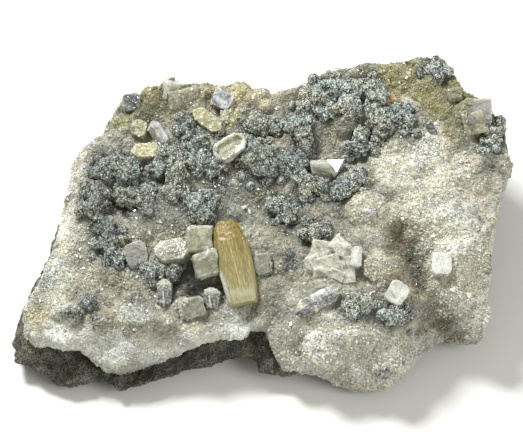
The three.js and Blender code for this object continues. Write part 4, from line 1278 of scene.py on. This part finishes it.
# Crystals with flat faces by slot: node, piece, its two colours, roughness and clearness
CRYSTALS = {
    "pale_crystal": [
        ("pale_block_group", "pale_blocks", (0.74, 0.75, 0.66), (0.85, 0.85, 0.75), 0.2, 0.45),
        ("cream_blade_cluster", "cream_blades", (0.8, 0.8, 0.73), (0.94, 0.94, 0.9), 0.15, 0.3),
        ("dish_tablet", "dished_tablet", (0.74, 0.74, 0.64), (0.9, 0.9, 0.82), 0.12, 0.3),
    ],
    "clear_crystal": [
        ("clear_wedge", "clear_wedge_crystal", (0.72, 0.73, 0.66), (0.85, 0.86, 0.8), 0.1, 0.4),
        ("white_upright_blade", "upright_blade", (0.86, 0.87, 0.84), (0.96, 0.96, 0.95), 0.1, 0.35),
        ("white_leaning_blade", "leaning_blade", (0.84, 0.85, 0.81), (0.95, 0.95, 0.93), 0.1, 0.3),
        ("white_block", "white_block_crystal", (0.9, 0.91, 0.88), (0.98, 0.98, 0.96), 0.1, 0.25),
        ("grey_tooth", "grey_tooth_crystal", (0.66, 0.66, 0.66), (0.84, 0.84, 0.83), 0.1, 0.35),
        ("grey_corner_block", "corner_block", (0.4, 0.43, 0.44), (0.58, 0.6, 0.6), 0.15, 0.35),
        ("bluish_block", "bluish_block_crystal", (0.48, 0.51, 0.54), (0.84, 0.86, 0.87), 0.2, 0.2),
        ("square_corner_crystal", "square_corner", (0.72, 0.72, 0.69), (0.82, 0.82, 0.8), 0.1, 0.45),
        ("side_block", "side_block_crystal", (0.73, 0.74, 0.68), (0.82, 0.83, 0.77), 0.1, 0.5),
        ("west_block", "west_block_crystal", (0.71, 0.71, 0.68), (0.8, 0.8, 0.77), 0.12, 0.4),
        ("front_block", "front_block_crystal", (0.66, 0.66, 0.6), (0.78, 0.78, 0.72), 0.12, 0.45),
    ],
    "coated_crystal": [
        ("coated_long_crystal", "coated_crystal_long", (0.42, 0.42, 0.45), (0.76, 0.76, 0.77), 0.45, 0),
        ("coated_stub_west", "coated_crystal_west", (0.31, 0.33, 0.34), (0.64, 0.66, 0.64), 0.45, 0),
        ("coated_stub_middle", "coated_crystal_middle", (0.3, 0.32, 0.33), (0.64, 0.66, 0.63), 0.45, 0),
        ("dark_eye_crystal", "dark_eye", (0.22, 0.24, 0.24), (0.46, 0.48, 0.47), 0.3, 0.2),
        ("dark_eye_crystal_back", "dark_eye_back", (0.24, 0.25, 0.28), (0.5, 0.52, 0.54), 0.3, 0.2),
    ],
    "honey_druse": [
        ("honey_tablet_round", "honey_disc", (0.58, 0.58, 0.44), (0.74, 0.74, 0.61), 0.35, 0.15),
        ("honey_tablet_long", "honey_tablet", (0.66, 0.655, 0.5), (0.8, 0.79, 0.66), 0.3, 0.15),
        ("cream_cap", "cream_cap_crystal", (0.63, 0.62, 0.47), (0.79, 0.775, 0.64), 0.35, 0.15),
        ("cream_stub", "cream_stub_crystal", (0.78, 0.77, 0.66), (0.9, 0.89, 0.8), 0.3, 0.15),
    ],
}


# Blades that stand out of the cream cluster, as seen: across, up, half sizes, roll, nod and turn in degrees
BLADE_HEIGHT = 0.5  # mm that their middles lie above what is under them
BLADES = [
    (13.6, -5.6, 2.4, 1.7, 0.5, -12, 10, -8),
    (17.4, -5.2, 2.3, 1.7, 0.5, -38, -12, 14),
    (15, -9.2, 2.7, 2.1, 0.6, 20, 12, -12),
    (12, -8.8, 1.3, 1.7, 0.6, 30, 0, 20),
    (16.8, -11.4, 1.6, 1.1, 0.6, -20, 14, -10),
    (19.4, -10.4, 1.5, 2.9, 0.7, 4, -8, -16),
    (18.9, -7.4, 0.5, 1.9, 1, -14, 0, 20),
]


def add_blades(piece):
    tree = tree_of([piece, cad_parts[CRUST]])
    blades = []
    for x, y, half_x, half_y, half_z, roll, nod, turn in BLADES:
        place = onto_crust(tree, x, y) + BLADE_HEIGHT * MM * TO_CAMERA
        blades.append(turned_block(place, (half_x, half_y, half_z), roll, nod, turn))
    join_into(piece, blades)


# Crystals whose foot the crust has climbed
EMBEDDED = (
    "side_block",
    "west_block",
    "front_block",
    "square_corner_crystal",
    "grey_corner_block",
    "bluish_block",
    "white_block",
    "cream_stub",
    "honey_tablet_round",
    "honey_tablet_long",
    "cream_cap",
)


def collars(ground, crystals):
    """Fine quartz points on the foot of each of those crystals, to a ragged line."""
    tree = tree_of([ground])
    places = []
    normals = []
    for number, piece in enumerate(crystals):
        spots, facing = sites_on(piece.data, 4000, 0.42, 310 + number)
        heights = np.array([tree.find_nearest(Vector(spot))[3] for spot in spots]) / MM
        low = heights < 0.9 + 0.7 * mottle(spots, 1.5, 12)
        places.append(spots[low])
        normals.append(facing[low])
    quartz_points("crystal_collars", np.concatenate(places), np.concatenate(normals), 0.36, "sugar", 36)


def flat_crystal(node, name, relief):
    piece = piece_like(node, name)
    if node == "cream_blade_cluster":
        add_blades(piece)
    sink_foot(piece, 0.7)
    remesh(piece, 0.08)
    roughen(piece, relief)
    apply_modifier(piece, "DECIMATE", ratio=0.22)
    paint_marks(piece, MARKS.get(node, []), 0.1, 0.4)
    return piece


def flat_crystals(ground):
    """Each keeps its crisp faces, with slight growth terraces. The coated and the honey ones are rough."""
    steps = relief_tree("growth_steps", [("steps", 2.4, 0.45), ("noise", 0.35, 0.03)])
    coating = relief_tree("coating", [("noise", 1.3, 0.3), ("cells", 0.6, 0.12)])
    embedded = []
    for slot, rows in CRYSTALS.items():
        for node, name, dark, light, roughness, clearness in rows:
            rough = slot in ("coated_crystal", "honey_druse") or node == "grey_corner_block"
            piece = flat_crystal(node, name, coating if rough else steps)
            size = 0.35 if slot == "coated_crystal" else 1.1
            material = crystal_material(name, (dark, light), roughness, clearness, 0.14, size)
            finish_piece(piece, material, slot, node)
            if node in EMBEDDED:
                embedded.append(piece)
    collars(ground, embedded)


def bright_face():
    """The clear wedge's triangular face, which stands so that it mirrors the key light."""
    tree = tree_of([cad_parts["clear_wedge"]])
    middle_x = sum(x for x, _ in WHITE_FACE) / 3
    middle_y = sum(y for _, y in WHITE_FACE) / 3
    middle = onto_crust(tree, middle_x, middle_y)
    to_light = (Vector(KEY_PLACE) - middle).normalized()
    facing = (to_light + TO_CAMERA).normalized()
    corners = []
    for x, y in WHITE_FACE:
        aside = Vector(((x - middle_x) * MM, 0, 0)) + (y - middle_y) * MM * LOOK_UP
        onto_face = aside - TO_CAMERA * (aside.dot(facing) / TO_CAMERA.dot(facing))
        corners.append(middle + onto_face + 0.3 * MM * TO_CAMERA)
    points = [*corners, *[c - 2 * MM * TO_CAMERA for c in corners]]
    sides = ((0, 1), (1, 2), (2, 0))
    faces = [(2, 1, 0), (3, 4, 5)]
    faces += [(a, b, b + 3) for a, b in sides]
    faces += [(a, b + 3, a + 3) for a, b in sides]
    mesh = mesh_from("wedge_bright_face", np.array(points), np.array(faces))
    piece = new_piece("wedge_bright_face", mesh)
    # the near-white tint is a painted reflection of the key light, added to the face's real mirroring
    write_tint(piece.data, np.full((6, 3), 0.9), 1)
    finish_piece(piece, MATERIALS["facet"], "clear_crystal", "clear_wedge")


# Smoky blocks half sunk in the crust: across and up, half sizes, roll, nod and turn in degrees, colour
SMOKY_BLOCKS = [
    (-17.4, 27.6, 3.6, 2.5, 1.1, 8, 12, 14, (0.71, 0.7, 0.61)),
    # the next, paler block is a painted highlight on the smoky lump
    (-20.2, 29.8, 1.7, 2.1, 1.8, -12, 10, 24, (0.84, 0.85, 0.8)),
    (43.2, 28.6, 1.6, 1.6, 0.7, 8, 10, 8, (0.68, 0.67, 0.58)),
    (47.6, 22.4, 2.5, 2.6, 1.2, 14, 12, -10, (0.8, 0.79, 0.69)),
    (-32.6, -5.4, 2.6, 2.2, 0.6, 15, 8, 8, (0.72, 0.71, 0.62)),
]


def smoky_blocks(ground):
    tree = tree_of([ground])
    blocks = []
    for x, y, half_x, half_y, half_z, roll, nod, turn, colour in SMOKY_BLOCKS:
        block = turned_block(onto_crust(tree, x, y), (half_x, half_y, half_z), roll, nod, turn)
        apply_modifier(block, "BEVEL", width=0.3 * MM, segments=1, limit_method="NONE")
        remesh(block, 0.2)
        write_tint(block.data, np.tile(linear(colour), (len(block.data.vertices), 1)))
        blocks.append(block)
    piece = blocks[0]
    piece.name = "smoky_blocks"
    join_into(piece, blocks[1:])
    roughen(piece, relief_tree("smoky_faces", [("noise", 1.4, 0.12), ("steps", 1.8, 0.4)]))
    finish_piece(piece, MATERIALS["smoky"], "drusy_quartz", CRUST)


# Floor, light and camera


def studio():
    bpy.ops.object.select_all(action="DESELECT")
    bpy.ops.mesh.primitive_plane_add(size=3)
    floor = bpy.context.object
    floor.name = "floor"
    floor.data.materials.append(floor_material())

    world = bpy.data.worlds.new("studio")
    bpy.context.scene.world = world
    world.use_nodes = True
    sky = world.node_tree.nodes["Background"]
    sky.inputs["Color"].default_value = (*linear((1.0, 0.99, 0.95)), 1)
    sky.inputs["Strength"].default_value = 0.45

    middle = Vector((0, 0, 0.02))
    for name, place, size, power in (
        ("key", KEY_PLACE, 0.16, 7),
        ("fill", (0.45, -0.25, 0.4), 0.3, 2),
    ):
        bpy.ops.object.light_add(type="AREA", location=place)
        light = bpy.context.object
        light.name = name
        light.data.size = size
        light.data.energy = power
        light.rotation_euler = (middle - light.location).to_track_quat("-Z", "Y").to_euler()


def camera():
    """Looks at the plate from the front, down at the view angle, from far off through a long lens."""
    across, up = (value * MM for value in SEEN_MIDDLE)
    target = VIEW_MIDDLE + Vector((across, 0, 0)) + up * LOOK_UP
    distance = PICTURE_WIDTH * MM * LENS / SENSOR
    bpy.ops.object.camera_add(location=target + distance * TO_CAMERA)
    view = bpy.context.object
    view.name = "camera"
    view.data.lens = LENS
    view.data.sensor_width = SENSOR
    view.data.clip_start = 0.05
    view.data.clip_end = 10
    view.rotation_euler = (-TO_CAMERA).to_track_quat("-Z", "Y").to_euler()
    bpy.context.scene.camera = view


camera()
studio()
bpy.context.scene.view_settings.view_transform = "Standard"
broken_rock()
crust = crust_ground()
sow_crust(crust)
white_flakes(crust)
smoky_blocks(crust)
knob_groups(crust)
heulandite_crystal()
flat_crystals(crust)
bright_face()
